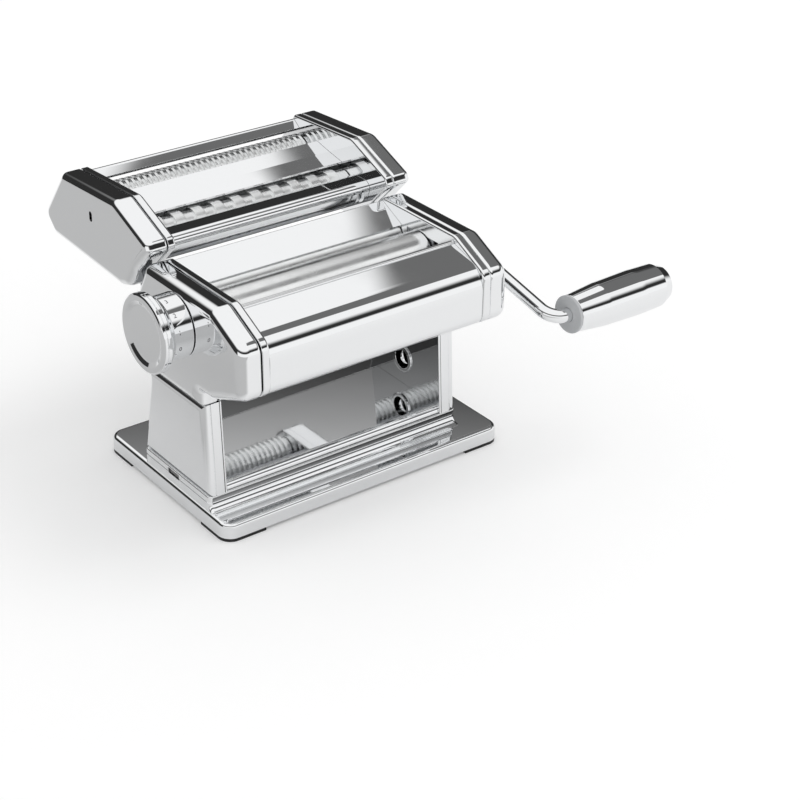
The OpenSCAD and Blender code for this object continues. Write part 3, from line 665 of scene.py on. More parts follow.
def dress(piece: bpy.types.Object, finish: Finish, body: str, *nodes: str, edge: Edge = Edge.KEEN) -> None:
    """Polishes a piece, gives it its finish and fixes it to a body.

    Args:
        piece: The piece, in place.
        finish: Its finish.
        body: The body that it moves with.
        nodes: The frame's nodes that it stands for.
        edge: How its sharp edges are broken.
    """
    polish(piece, edge)
    piece.data.materials.clear()
    piece.data.materials.append(finish.material())
    if nodes:
        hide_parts(*nodes)
    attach(piece, body)
    triangles = sum(len(f.vertices) - 2 for f in piece.data.polygons)
    LOG.info("%s: %d triangles, on %s", piece.name, triangles, body)


def repaint(frame: dict[str, Any], finish: Finish, *nodes: str) -> None:
    """Gives nodes of the frame that stay as they are their finish.

    Args:
        frame: The loaded frame.
        finish: The finish.
        nodes: Names of the nodes.
    """
    for name in nodes:
        shown = frame["nodes"][name]
        if not shown.material_slots:
            shown.data.materials.append(finish.material())
        for place in shown.material_slots:
            place.material = finish.material()
        LOG.info("%s: kept, %s", name, finish.name)


# Geometry nodes


def group_with(name: str, sockets: dict[str, str]) -> tuple[bpy.types.NodeTree, Any]:
    """Starts a geometry tree that takes a mesh and named inputs.

    Args:
        name: Name of the tree.
        sockets: Name and kind of each input after the mesh.

    Returns:
        The tree and the sockets that give its inputs.
    """
    tree = bpy.data.node_groups.new(name, "GeometryNodeTree")
    tree.interface.new_socket("Geometry", in_out="INPUT", socket_type="NodeSocketGeometry")
    for label, kind in sockets.items():
        tree.interface.new_socket(label, in_out="INPUT", socket_type=f"NodeSocket{kind}")
    tree.interface.new_socket("Geometry", in_out="OUTPUT", socket_type="NodeSocketGeometry")
    return tree, add(tree, "NodeGroupInput", {}, {}).outputs


def grown(piece: bpy.types.Object, tree: bpy.types.NodeTree, values: dict[str, Any]) -> None:
    """Runs a geometry tree on a piece and keeps the result as clean, plain mesh.

    Args:
        piece: The piece that the tree starts from.
        tree: The tree.
        values: The tree's inputs by name.
    """
    modifier = piece.modifiers.new("grown", "NODES")
    modifier.node_group = tree
    for item in tree.interface.items_tree:
        if item.in_out == "INPUT" and item.name in values:
            modifier[item.identifier] = values[item.name]
    settle(piece)
    clean(piece)


def ring_train() -> bpy.types.NodeTree:
    """Tree that sets rings of one section side by side on a shaft along X.

    Returns:
        The tree; its inputs are the rings' sizes, their number and pitch, and the axle's place.
    """
    known = bpy.data.node_groups.get("ring_train")
    if known:
        return known
    tree, give = group_with("ring_train", {
        "Count": "Int", "Pitch": "Float", "First": "Float", "Mean Radius": "Float", "Height": "Float",
        "Width": "Float", "Edge": "Float", "Edge Steps": "Int", "Sides": "Int", "Axle": "Vector",
        "Finish": "Material",
    })
    circle = add(tree, "GeometryNodeCurvePrimitiveCircle", {"mode": "RADIUS"},
                 {"Resolution": give["Sides"], "Radius": give["Mean Radius"]})
    section = add(tree, "GeometryNodeCurvePrimitiveQuadrilateral", {"mode": "RECTANGLE"},
                  {"Width": give["Height"], "Height": give["Width"]})
    softened = add(tree, "GeometryNodeFilletCurve", {"mode": "POLY"},
                   {"Curve": section.outputs[0], "Count": give["Edge Steps"], "Radius": give["Edge"]})
    swept = add(tree, "GeometryNodeCurveToMesh", {},
                {"Curve": circle.outputs[0], "Profile Curve": softened.outputs[0]})
    stood = add(tree, "GeometryNodeTransform", {},
                {"Geometry": swept.outputs[0], "Rotation": (0.0, math.pi / 2, 0.0)})
    step = add(tree, "ShaderNodeCombineXYZ", {}, {"X": give["Pitch"]})
    first = add(tree, "ShaderNodeCombineXYZ", {}, {"X": give["First"]})
    start = add(tree, "ShaderNodeVectorMath", {"operation": "ADD"}, {0: first.outputs[0], 1: give["Axle"]})
    row = add(tree, "GeometryNodeMeshLine", {"mode": "OFFSET"},
              {"Count": give["Count"], "Start Location": start.outputs[0], "Offset": step.outputs[0]})
    placed = add(tree, "GeometryNodeInstanceOnPoints", {},
                 {"Points": row.outputs[0], "Instance": stood.outputs[0]})
    real = add(tree, "GeometryNodeRealizeInstances", {}, {0: placed.outputs[0]})
    whole = add(tree, "GeometryNodeJoinGeometry", {}, {0: give["Geometry"]})
    tree.links.new(real.outputs[0], whole.inputs[0])
    done = add(tree, "GeometryNodeSetMaterial", {},
               {"Geometry": whole.outputs[0], "Material": give["Finish"]})
    add(tree, "NodeGroupOutput", {}, {0: done.outputs[0]})
    return tree


def bent_rod() -> bpy.types.NodeTree:
    """Tree that bends a round rod along a line of corners.

    Returns:
        The tree; its inputs are the rod's radius, the radius of its bends and how finely both are drawn.
    """
    tree, give = group_with("bent_rod", {
        "Rod Radius": "Float", "Bend Radius": "Float", "Bend Steps": "Int", "Sides": "Int",
        "Finish": "Material",
    })
    line = add(tree, "GeometryNodeMeshToCurve", {}, {0: give["Geometry"]})
    bends = add(tree, "GeometryNodeFilletCurve", {"mode": "POLY"},
                {"Curve": line.outputs[0], "Count": give["Bend Steps"], "Radius": give["Bend Radius"],
                 "Limit Radius": True})
    circle = add(tree, "GeometryNodeCurvePrimitiveCircle", {"mode": "RADIUS"},
                 {"Resolution": give["Sides"], "Radius": give["Rod Radius"]})
    swept = add(tree, "GeometryNodeCurveToMesh", {},
                {"Curve": bends.outputs[0], "Profile Curve": circle.outputs[0], "Fill Caps": True})
    real = add(tree, "GeometryNodeRealizeInstances", {}, {0: swept.outputs[0]})
    done = add(tree, "GeometryNodeSetMaterial", {}, {"Geometry": real.outputs[0], "Material": give["Finish"]})
    add(tree, "NodeGroupOutput", {}, {0: done.outputs[0]})
    return tree


# Sub-assemblies


@dataclass(frozen=True)
class Spindle:
    """Turned body with a journal at each end; a driven one is longer and has the crank's socket."""

    radius: float
    half: float
    edge: float
    journal: float
    driven: bool
    sides: int
    steps: int
    left_end: float = -74.3
    plain_end: float = 84.5
    driven_end: float = 87.6
    socket: float = 4.15
    socket_end: float = 65.6
    foot_edge: float = 0.2
    end_edge: float = 0.3
    driven_edge: float = 0.4

    def skin(self, axle: Flat) -> Skin:
        """Turns the body about its axle.

        Args:
            axle: Depth and height of the axle.

        Returns:
            The mesh.
        """
        corners = [
            (0, self.left_end, 0), (self.journal, self.left_end, self.end_edge),
            (self.journal, -self.half, self.foot_edge), (self.radius, -self.half, self.edge),
            (self.radius, self.half, self.edge), (self.journal, self.half, self.foot_edge),
        ]
        if self.driven:
            corners += [
                (self.journal, self.driven_end, self.driven_edge),
                (self.socket, self.driven_end, self.end_edge),
                (self.socket, self.socket_end, 0), (0, self.socket_end, 0),
            ]
        else:
            corners += [(self.journal, self.plain_end, self.end_edge), (0, self.plain_end, 0)]
        return Skin().loft(turned_rings(rounded(corners, self.steps, closed=False), *axle, self.sides))


@dataclass
class Assembly:
    """What all sub-assemblies share: the shop, the frame and the main places of the machine."""

    shop: Shop
    frame: dict[str, Any]
    plate_in: float = 70.0
    plate_out: float = 74.7
    plate_roll: float = 1.4
    plate_edge: float = 0.45
    cap_in: float = 75.0
    cap_out: float = 88.0
    through_plate: Flat = (69.0, 76.0)
    through_cap: Flat = (83.6, 89.0)
    between: float = 69.9
    small_sides: int = 48
    rim_flat: float = 0.2
    sheet: float = 1.2
    seat: float = 0.1
    axle_height: float = 117.5
    rear_axle: float = 0.9
    front_axle: float = -26.7
    knob_axle: float = -23.0

    def bar(
        self, x0: float, x1: float, y: float, z: float, radius: float, edge: float = 0.0, sides: int = 96
    ) -> Skin:
        """Round bar along X.

        Args:
            x0: Where it starts along X.
            x1: Where it ends along X.
            y: Depth of its axis.
            z: Height of its axis.
            radius: Its radius.
            edge: Radius of its two end edges.
            sides: Number of points round it.

        Returns:
            The bar's mesh.
        """
        corners = [(0, x0, 0), (radius, x0, edge), (radius, x1, edge), (0, x1, 0)]
        return Skin().loft(turned_rings(rounded(corners, BAR_STEPS, closed=False), y, z, sides))

    def holes(self, reach: Flat, side: Side, places: Sequence[Corner], sides: int = 96) -> list[Skin]:
        """Forms that cut round holes along X.

        Args:
            reach: The two distances from mid-width between which they cut.
            side: The side of the machine.
            places: Depth, height and radius of each hole.
            sides: Number of points round each hole.

        Returns:
            One form for each hole.
        """
        return [self.bar(*side.span(reach), y, z, radius, sides=sides) for y, z, radius in places]

    def rod_holes(self, side: Side, box: Box, rods: Sequence[Flat], radius: float) -> list[Skin]:
        """Forms that cut the holes of tie rods, given in shares of a box, through a side plate."""
        return self.holes(self.through_plate, side, [(*box.point(s), radius) for s in rods], self.small_sides)

    def block(self, low: Sequence[float], high: Sequence[float]) -> Skin:
        """Plain block between two corners, used for cutting openings."""
        ring = [(low[1], low[2]), (high[1], low[2]), (high[1], high[2]), (low[1], high[2])]
        return Skin().loft([[Vector((x, p[0], p[1])) for p in ring] for x in (low[0], high[0])])

    def turned(
        self, name: str, corners: Sequence[Corner], axis: Flat, side: Side, sides: int = 96, steps: int = 6
    ) -> bpy.types.Object:
        """Piece turned about a line along X, its section a closed one.

        Args:
            name: Name of the piece.
            corners: Radius, distance from mid-width and rounding of each corner of its section.
            axis: Depth and height of the line.
            side: The side of the machine that it is on.
            sides: Number of points round it.
            steps: Number of steps in each rounded corner.

        Returns:
            The object.
        """
        profile = [Vector((p.x, side.value * p.y)) for p in rounded(corners, steps)]
        return self.shop.make(name, Skin().loft(turned_rings(profile, *axis, sides), looped=True))

    def bent(
        self, name: str, line: Sequence[Corner], half_width: float, thickness: float
    ) -> bpy.types.Object:
        """Bent sheet that runs from side to side.

        Args:
            name: Name of the piece.
            line: Corners of its outer face.
            half_width: Half its width.
            thickness: Its thickness, on the right of the line.

        Returns:
            The object.
        """
        section = sheet_section(line, thickness)
        return self.shop.make(name, Skin().loft([along_x(section, x) for x in (-half_width, half_width)]))

    def plate(
        self, name: str, corners: Sequence[Corner], side: Side, forms: Sequence[Skin]
    ) -> bpy.types.Object:
        """Flat side plate with a rolled inner edge and bored holes.

        Args:
            name: Name of the piece.
            corners: Its outline.
            side: The side of the machine that it is on.
            forms: What is cut out of it.

        Returns:
            The object.
        """
        rings = domed_rings(
            corners, self.plate_in, self.plate_out, self.plate_roll, self.plate_edge, side, PLATE_STEPS)
        made = self.shop.make(name, Skin().loft(rings))
        self.shop.work(made, forms)
        return made

    def cup(self, corners: Sequence[Corner], dome: float, rim: float, side: Side) -> Skin:
        """Pressed cap, open towards mid-width.

        Args:
            corners: Its outline.
            dome: Radius of its rolled edge.
            rim: Radius of the edge of its rim.
            side: The side of the machine that it is on.

        Returns:
            The cap's mesh.
        """
        outer = domed_rings(corners, self.cap_in, self.cap_out, rim, dome, side)
        wall = max(self.sheet, rim + self.rim_flat)
        face = self.cap_out - self.sheet
        inner = domed_rings(inset(corners, wall), self.cap_in, face, 0, dome - wall, side)
        return Skin().loft(inner[::-1] + outer)


@dataclass
class Base(Assembly):
    """Base plate with its raised plinth, the corner feet and the outlet chute."""

    low: float = 2.0
    top: float = 11.0
    x_from: float = -86.8
    x_to: float = 105.2
    depth: float = 126.5
    corner: float = 8.0
    corner_steps: int = 10
    roll: float = 2.6
    inner_roll: float = 0.6
    roll_steps: int = 12
    plinth_top: float = 20.0
    plinth_half: float = 85.4
    plinth_from: float = -45.0
    plinth_to: float = 23.5
    plinth_corner: float = 3.0
    least_corner: float = 1.0
    plinth_roll: float = 0.8
    plinth_turns: tuple[float, ...] = (0.0, 0.4, 0.8, 1.2, math.pi / 2)
    fillet: float = 4.8
    fillet_steps: int = 10
    groove: tuple[Flat, ...] = (
        (16.05, 0.0), (16.15, 0.1), (16.3, 0.3), (16.5, 0.3), (16.65, 0.1), (16.75, 0.0),
    )
    notch_low: Flat = (-13.5, 15.6)
    notch_high: Flat = (-2.5, 18.9)
    notch_in: float = 1.3
    chute_half: float = 73.4
    chute_line: tuple[Corner, ...] = (
        (-43.6, 20.1, 0.0), (-43.6, 24.3, 4.0), (16.0, 25.5, 2.4), (21.0, 21.3, 1.2), (21.0, 20.1, 0.0),
    )

    def plan(self, x0: float, x1: float, y0: float, y1: float, radius: float, z: float) -> list[Vector]:
        """Rounded rectangle seen from above.

        Args:
            x0: Left end.
            x1: Right end.
            y0: Front.
            y1: Back.
            radius: Radius of the corners.
            z: Height.

        Returns:
            The ring of points.
        """
        corners = [(x0, y0, radius), (x1, y0, radius), (x1, y1, radius), (x0, y1, radius)]
        return [Vector((p.x, p.y, z)) for p in rounded(corners, self.corner_steps)]

    def flange(self, draw: float, low: float, top: float, roll: float) -> Skin:
        """Solid of the flange.

        Args:
            draw: How far it is drawn in all round.
            low: Height of its underside.
            top: Height of its top.
            roll: Radius of its upper edge.

        Returns:
            The mesh.
        """
        half = self.depth / 2
        levels = [(low, draw)]
        for i in range(self.roll_steps + 1):
            t = math.pi / 2 * i / self.roll_steps
            levels.append((top - roll + roll * math.sin(t), draw + roll * (1 - math.cos(t))))
        return Skin().loft([
            self.plan(self.x_from + d, self.x_to - d, d - half, half - d, self.corner - d, z)
            for z, d in levels
        ])

    def plinth(self, draw: float, low: float, folded: bool) -> Skin:
        """Solid of the plinth.

        Args:
            draw: How far it is drawn in all round.
            low: Height of its underside.
            folded: Whether it has the fold at its front foot, the groove round it and the rolled top edge.

        Returns:
            The mesh.
        """
        levels = [(low, 0.0, self.fillet if folded else 0.0)]
        if folded:
            for i in range(self.fillet_steps + 1):
                t = math.pi / 2 * i / self.fillet_steps
                z = self.top + self.fillet * (1 - math.cos(t))
                levels.append((z, 0.0, self.fillet * (1 - math.sin(t))))
            levels += [(z, d, 0.0) for z, d in self.groove]
            roll = self.plinth_roll
            edge = self.plinth_top - roll
            levels += [(edge + roll * math.sin(t), roll * (1 - math.cos(t)), 0.0) for t in self.plinth_turns]
        else:
            levels.append((self.plinth_top - draw, 0.0, 0.0))
        half = self.plinth_half
        return Skin().loft([
            self.plan(draw + d - half, half - draw - d, self.plinth_from + draw + d - reach,
                      self.plinth_to - draw - d, max(self.plinth_corner - draw - d, self.least_corner), z)
            for z, d, reach in levels
        ])

    def build(self) -> None:
        """Builds the base plate and the chute and dresses the feet."""
        plate = self.shop.make("base_shell", self.flange(0.0, self.low, self.top, self.roll))
        self.shop.work(plate, [self.plinth(0.0, self.top - self.sheet, True)], Work.JOIN)
        hollow = self.flange(self.sheet, self.low - 1, self.top - self.sheet, self.inner_roll)
        raised = self.plinth(self.sheet, self.low - 1, False)
        left = -self.plinth_half
        notch = self.block((left - 1, *self.notch_low), (left + self.notch_in, *self.notch_high))
        self.shop.work(plate, [hollow, raised, notch])
        dress(plate, CHROME, "frame", "base_plate")
        chute = self.bent("outlet_chute", self.chute_line, self.chute_half, self.sheet)
        dress(chute, CHROME, "frame", "chute", edge=Edge.FINE)
        repaint(self.frame, RUBBER, "rubber_feet")


@dataclass
class Legs(Assembly):
    """The two leg covers, their inner plates and the clamp's collar."""

    leg_out: float = 85.4
    dome: float = 4.2
    rim: float = 0.3
    box: Box = Box(-45.0, 20.0, 68.5, 54.9)
    shares: tuple[Corner, ...] = ((0.053, 1, 0), (0, 0, 0), (1, 0, 0), (0.869, 0.836, 0.5), (0.869, 1, 0))
    fold: tuple[Flat, ...] = (
        (80.3, 0.0), (80.45, 0.12), (80.6, 0.32), (80.8, 0.32), (80.95, 0.12), (81.1, 0.0),
    )
    liner_in: float = 73.5
    liner_edge: float = 0.5
    liner_steps: int = 5
    clamp: Flat = (-9.0, 41.5)
    clamp_radius: float = 6.2
    liner_play: float = 1.5
    through_cover: Flat = (74.0, 87.0)
    through_liner: Flat = (72.0, 76.0)
    collar: tuple[Corner, ...] = (
        (6.2, 72.6, 0.3), (8.5, 72.6, 0.45), (8.5, 73.45, 0.2), (7.6, 73.45, 0.0), (7.6, 78.5, 0.3),
        (6.2, 78.5, 0.3),
    )

    def cover(self, side: Side) -> bpy.types.Object:
        """Leg cover with the fine fold that runs down it.

        Args:
            side: Its side.

        Returns:
            The object.
        """
        corners = self.box.place(self.shares)
        outer = domed_rings(corners, self.cap_in, self.leg_out, self.rim, self.dome, side)
        after_rim = ROLL_STEPS + 1
        fold = [along_x(rounded(inset(corners, draw)), side.value * x) for x, draw in self.fold]
        outer[after_rim:after_rim] = fold
        wall = self.sheet
        inner = domed_rings(inset(corners, wall), self.cap_in, self.leg_out - wall, 0, self.dome - wall, side)
        return self.shop.make(f"{side.word}_leg_cover", Skin().loft(inner[::-1] + outer))

    def liner(self, side: Side) -> bpy.types.Object:
        """Flat plate inside one leg.

        Args:
            side: Its side.

        Returns:
            The object.
        """
        corners = inset(self.box.place(self.shares), self.seat)
        rings = domed_rings(
            corners, self.liner_in, self.plate_out, self.liner_edge, 0, side, self.liner_steps)
        return self.shop.make(f"{side.word}_leg_plate", Skin().loft(rings))

    def build(self) -> None:
        """Builds both legs."""
        for side in Side:
            cover, liner = self.cover(side), self.liner(side)
            if side is Side.CRANK:
                through = [(*self.clamp, self.clamp_radius + play) for play in (self.seat, self.liner_play)]
                self.shop.work(cover, self.holes(self.through_cover, side, through[:1]))
                self.shop.work(liner, self.holes(self.through_liner, side, through[1:]))
            dress(cover, CHROME, "frame", f"{side.word}_leg")
            dress(liner, CHROME, "frame", f"{side.word}_leg_liner")
        dress(self.turned("clamp_bush", self.collar, self.clamp, Side.CRANK), CHROME, "frame", "clamp_collar")


@dataclass
class Head(Assembly):
    """Side plates, pressed end caps, front cover and hopper plate."""

    box: Box = Box(-84.5, 75.0, 103.5, 64.0)
    shares: tuple[Corner, ...] = (
        (0.913, 1, 0.08), (0.266, 1, 0.14), (0.007, 0.797, 0.14), (0, 0.344, 0.12), (0.3, 0.15, 0.3),
        (0.4155, 0.14, 0.03), (0.4165, 0, 0.02), (0.957, 0, 0.05), (1, 0.75, 0.1),
    )
    rods: tuple[Flat, ...] = ((0.164, 0.797), (0.164, 0.375), (0.873, 0.1875))
    rod_bore: float = 3.0
    roller_bore: float = 9.4
    knob_bore: float = 7.1
    crank_bore: float = 8.1
    window_low: Flat = (-43.05, 105.35)
    window_high: Flat = (-14.55, 129.65)
    dome: float = 6.4
    rim: float = 2.0
    cover_shares: tuple[Corner, ...] = (
        (0.15, 0.235, 0), (0.013, 0.34, 0.12), (0.013, 0.806, 0.25), (0.275, 0.94, 0),
    )
    bead: float = 1.3
    bead_edge: float = 0.3
    hopper: tuple[Corner, ...] = ((9.685, 134.44, 0.0), (9.685, 138.04, 1.2), (-9.98, 128.76, 0.0))

    def side_plate(self, side: Side) -> None:
        """Side plate with the window of the bearing block and the bores.

        Args:
            side: Its side.
        """
        roller = self.holes(self.through_plate, side, [(self.rear_axle, self.axle_height, self.roller_bore)])
        low, high = side.span(self.through_plate)
        window = self.block((low, *self.window_low), (high, *self.window_high))
        rods = self.rod_holes(side, self.box, self.rods, self.rod_bore)
        corners = self.box.place(self.shares)
        piece = self.plate(f"{side.word}_head_plate", corners, side, [*roller, window, *rods])
        dress(piece, FLAT_CHROME, "frame", f"{side.word}_side_plate")

    def end_cap(self, side: Side) -> None:
        """Pressed end cap with the hole for the regulator or the crank.

        Args:
            side: Its side.
        """
        skin = self.cup(self.box.place(self.shares), self.dome, self.rim, side)
        piece = self.shop.make(f"{side.word}_head_cap", skin)
        hole = (self.rear_axle, self.axle_height, self.crank_bore)
        if side is Side.KNOB:
            hole = (self.knob_axle, self.axle_height, self.knob_bore)
        self.shop.work(piece, self.holes(self.through_cap, side, [hole]))
        dress(piece, CHROME, "frame", f"{side.word}_end_cap")

    def build(self) -> None:
        """Builds the head and dresses what is hidden in it."""
        for side in Side:
            self.side_plate(side)
            self.end_cap(side)
        line = self.box.place(self.cover_shares)
        cover = self.bent("front_apron", line, self.between, self.sheet)
        end = line[-1][:2]
        bead = self.bar(-self.between, self.between, *end, self.bead, self.bead_edge, self.small_sides)
        self.shop.work(cover, [bead], Work.JOIN)
        dress(cover, CHROME, "frame", "front_cover")
        hopper = self.bent("hopper_slope", self.hopper, self.between, -self.sheet)
        dress(hopper, CHROME, "frame", "hopper_plate", edge=Edge.FINE)
        repaint(self.frame, ZINC_STEEL, "tie_rods", "rear_scraper", "left_rail", "right_rail",
                "roller_bushes", "left_bearing_block", "right_bearing_block", "front_scraper", "cam_pin")


@dataclass
class SmoothRollers(Assembly):
    """The two smooth rollers and their gears."""

    radius: float = 13.5
    half: float = 69.6
    edge: float = 0.6
    journal: float = 7.0

    def roller(self, node: str, y: float, driven: bool, body: str) -> None:
        """Builds one roller with its journals.

        Args:
            node: The frame's node that it stands for.
            y: Depth of its axle.
            driven: Whether it has the crank's socket.
            body: The body that it turns with.
        """
        shape = Spindle(self.radius, self.half, self.edge, self.journal, driven, sides=192, steps=6)
        piece = self.shop.make(f"smooth_{node}", shape.skin((y, self.axle_height)))
        dress(piece, GROUND_ALUMINIUM, body, node)

    def build(self) -> None:
        """Builds both rollers and dresses their gears."""
        self.roller("front_roller", self.front_axle, False, "driven_roller")
        self.roller("rear_roller", self.rear_axle, True, "drive_roller")
        repaint(self.frame, ZINC_STEEL, "front_roller_gear", "rear_roller_gear")


@dataclass
class Crank(Assembly):
    """Crank: bent rod, washer, turning grip and the bush that it goes through.

    The grip is a cone to a third of its length, then a long barrel and a rounded nose.
    """

    arm: float = 103.8
    slope: float = 12.7
    rod: float = 4.0
    rod_sides: int = 64
    bend: float = 10.0
    bend_steps: int = 24
    rod_from: float = 67.6
    arm_x: float = 107.0
    rod_to: float = 184.6
    grip: tuple[Corner, ...] = (
        (4.06, 120.0, 0.3), (10.8, 120.0, 0.5), (12.75, 140.0, 30.0), (13.4, 166.0, 60.0), (12.9, 182.5, 1.2),
        (10.4, 188.8, 1.2), (8.6, 190.0, 1.0), (0, 190.0, 0), (0, 185.0, 0), (4.06, 185.0, 0.0),
    )
    washer: tuple[Corner, ...] = (
        (4.06, 118.0, 0.2), (11.0, 118.0, 0.4), (11.0, 119.8, 0.4), (4.06, 119.8, 0.2),
    )
    bush: tuple[Corner, ...] = (
        (7.06, 85.8, 0.2), (8.0, 85.8, 0.2), (8.0, 88.1, 0.1), (9.2, 88.1, 0.2), (9.2, 89.2, 0.5),
        (7.06, 89.2, 0.4),
    )

    @property
    def handle(self) -> Flat:
        """Depth and height of the grip's axis."""
        t = math.radians(self.slope)
        return (self.rear_axle - self.arm * math.cos(t), self.axle_height - self.arm * math.sin(t))

    def rod_piece(self) -> bpy.types.Object:
        """Rod bent twice, grown along the line of its corners.

        Returns:
            The object.
        """
        axle, handle = (self.rear_axle, self.axle_height), self.handle
        route = [(self.rod_from, *axle), (self.arm_x, *axle), (self.arm_x, *handle), (self.rod_to, *handle)]
        mesh = bpy.data.meshes.new("crank_line")
        mesh.from_pydata([self.shop.at(*p) for p in route], [(0, 1), (1, 2), (2, 3)], [])
        piece = bpy.data.objects.new("bent_crank", mesh)
        bpy.context.scene.collection.objects.link(piece)
        grown(piece, bent_rod(), {
            "Rod Radius": self.rod * MM, "Bend Radius": self.bend * MM, "Bend Steps": self.bend_steps,
            "Sides": self.rod_sides, "Finish": CHROME.material(),
        })
        return piece

    def build(self) -> None:
        """Builds the crank."""
        dress(self.rod_piece(), CHROME, "crank", "crank_rod")
        grip = self.turned("turning_grip", self.grip, self.handle, Side.CRANK, sides=128, steps=10)
        dress(grip, CHROME, "grip", "crank_grip")
        washer = self.turned("thrust_washer", self.washer, self.handle, Side.CRANK)
        dress(washer, ACETAL, "grip", "grip_washer")
        bush = self.turned("crank_guide", self.bush, (self.rear_axle, self.axle_height), Side.CRANK)
        dress(bush, CHROME, "frame", "crank_bush")


@dataclass
class Regulator(Assembly):
    """Numbered knob that sets the gap, its collar and what is inside it.

    The knob's section is its skirt, a cone, a band with a fine groove, the face and its dish. The
    collar has the ring of holes that the knob's pin drops into.
    """

    skirt: float = 18.0
    settings: int = 10
    turn: float = 300.0
    digit_height: float = 2.6
    capital_share: float = 0.72
    digit_rise: float = 0.04
    digit_sunk: float = 0.005
    digit_steps: int = 3
    digit_x: float = 96.6
    first_digit: float = -16.0
    hole_circle: float = 12.0
    hole_radius: float = 1.25
    hole_sides: int = 24
    through_collar: Flat = (87.0, 91.0)
    knob: tuple[Corner, ...] = (
        (16.8, 88.4, 0.3), (18.0, 88.4, 0.4), (18.0, 99.9, 1.2), (20.9, 102.5, 0.9), (22.0, 103.9, 0.6),
        (22.0, 106.0, 0.1), (21.7, 106.15, 0.1), (21.7, 106.4, 0.1), (22.0, 106.55, 0.1), (22.0, 108.0, 0.7),
        (20.9, 108.7, 0.8), (18.3, 108.7, 0.9), (15.6, 107.35, 2.4), (0, 107.3, 0), (0, 105.9, 0),
        (16.8, 105.9, 0), (16.8, 94.0, 0), (4.06, 94.0, 0), (4.06, 92.4, 0), (16.8, 92.4, 0),
    )
    collar: tuple[Corner, ...] = (
        (4.06, 86.4, 0.2), (7.0, 86.4, 0.3), (7.0, 88.1, 0.0), (15.4, 88.1, 0.2), (15.4, 89.6, 0.4),
        (4.06, 89.6, 0.3),
    )

    def digit(self, number: int, skin: Skin) -> None:
        """Adds one number to a mesh, wrapped round the skirt.

        Args:
            number: The number.
            skin: The mesh that it is added to.
        """
        text = bpy.data.curves.new("digit", "FONT")
        text.body = str(number)
        text.size = self.digit_height / self.capital_share
        text.align_x, text.align_y = "CENTER", "CENTER"
        text.extrude = self.digit_rise
        text.resolution_u = self.digit_steps
        shown = bpy.data.objects.new("digit", text)
        bpy.context.scene.collection.objects.link(shown)
        view = bpy.context.evaluated_depsgraph_get()
        mesh = bpy.data.meshes.new_from_object(shown.evaluated_get(view))
        middle = math.radians(self.first_digit + number * self.turn / self.settings)
        start = len(skin.points)
        for v in mesh.vertices:
            t = middle + v.co.y / self.skirt
            r = self.skirt + v.co.z - self.digit_sunk
            y, z = self.knob_axle - r * math.cos(t), self.axle_height + r * math.sin(t)
            skin.points.append(Vector((v.co.x - self.digit_x, y, z)))
        skin.faces += [tuple(start + i for i in f.vertices) for f in mesh.polygons]
        bpy.data.objects.remove(shown)
        bpy.data.curves.remove(text)
        bpy.data.meshes.remove(mesh)

    def build(self) -> None:
        """Builds the knob, its numbers and the collar."""
        axis = (self.knob_axle, self.axle_height)
        knob = self.turned("numbered_knob", self.knob, axis, Side.KNOB, sides=160, steps=7)
        dress(knob, CHROME, "knob", "regulator_knob")
        skin = Skin()
        for number in range(self.settings):
            self.digit(number, skin)
        dress(self.shop.make("knob_numbers", skin), INK, "knob")
        collar = self.turned("index_plate", self.collar, axis, Side.KNOB, sides=128)
        ring = self.hole_circle
        places = []
        for number in range(self.settings):
            t = math.radians(self.turn * number / self.settings)
            places.append((axis[0] - ring * math.cos(t), axis[1] - ring * math.sin(t), self.hole_radius))
        self.shop.work(collar, self.holes(self.through_collar, Side.KNOB, places, self.hole_sides))
        dress(collar, ZINC_STEEL, "frame", "regulator_collar")
        repaint(self.frame, ZINC_STEEL, "regulator_shaft", "regulator_cam", "index_pin", "knob_spring")


@dataclass(frozen=True)
class Train:
    """One cutter: its node and body, depth and height of its axle, width of one ribbon, and its rings."""

    node: str
    body: str
    axle: Flat
    ribbon: float
    rings: int
    sides: int
    driven: bool


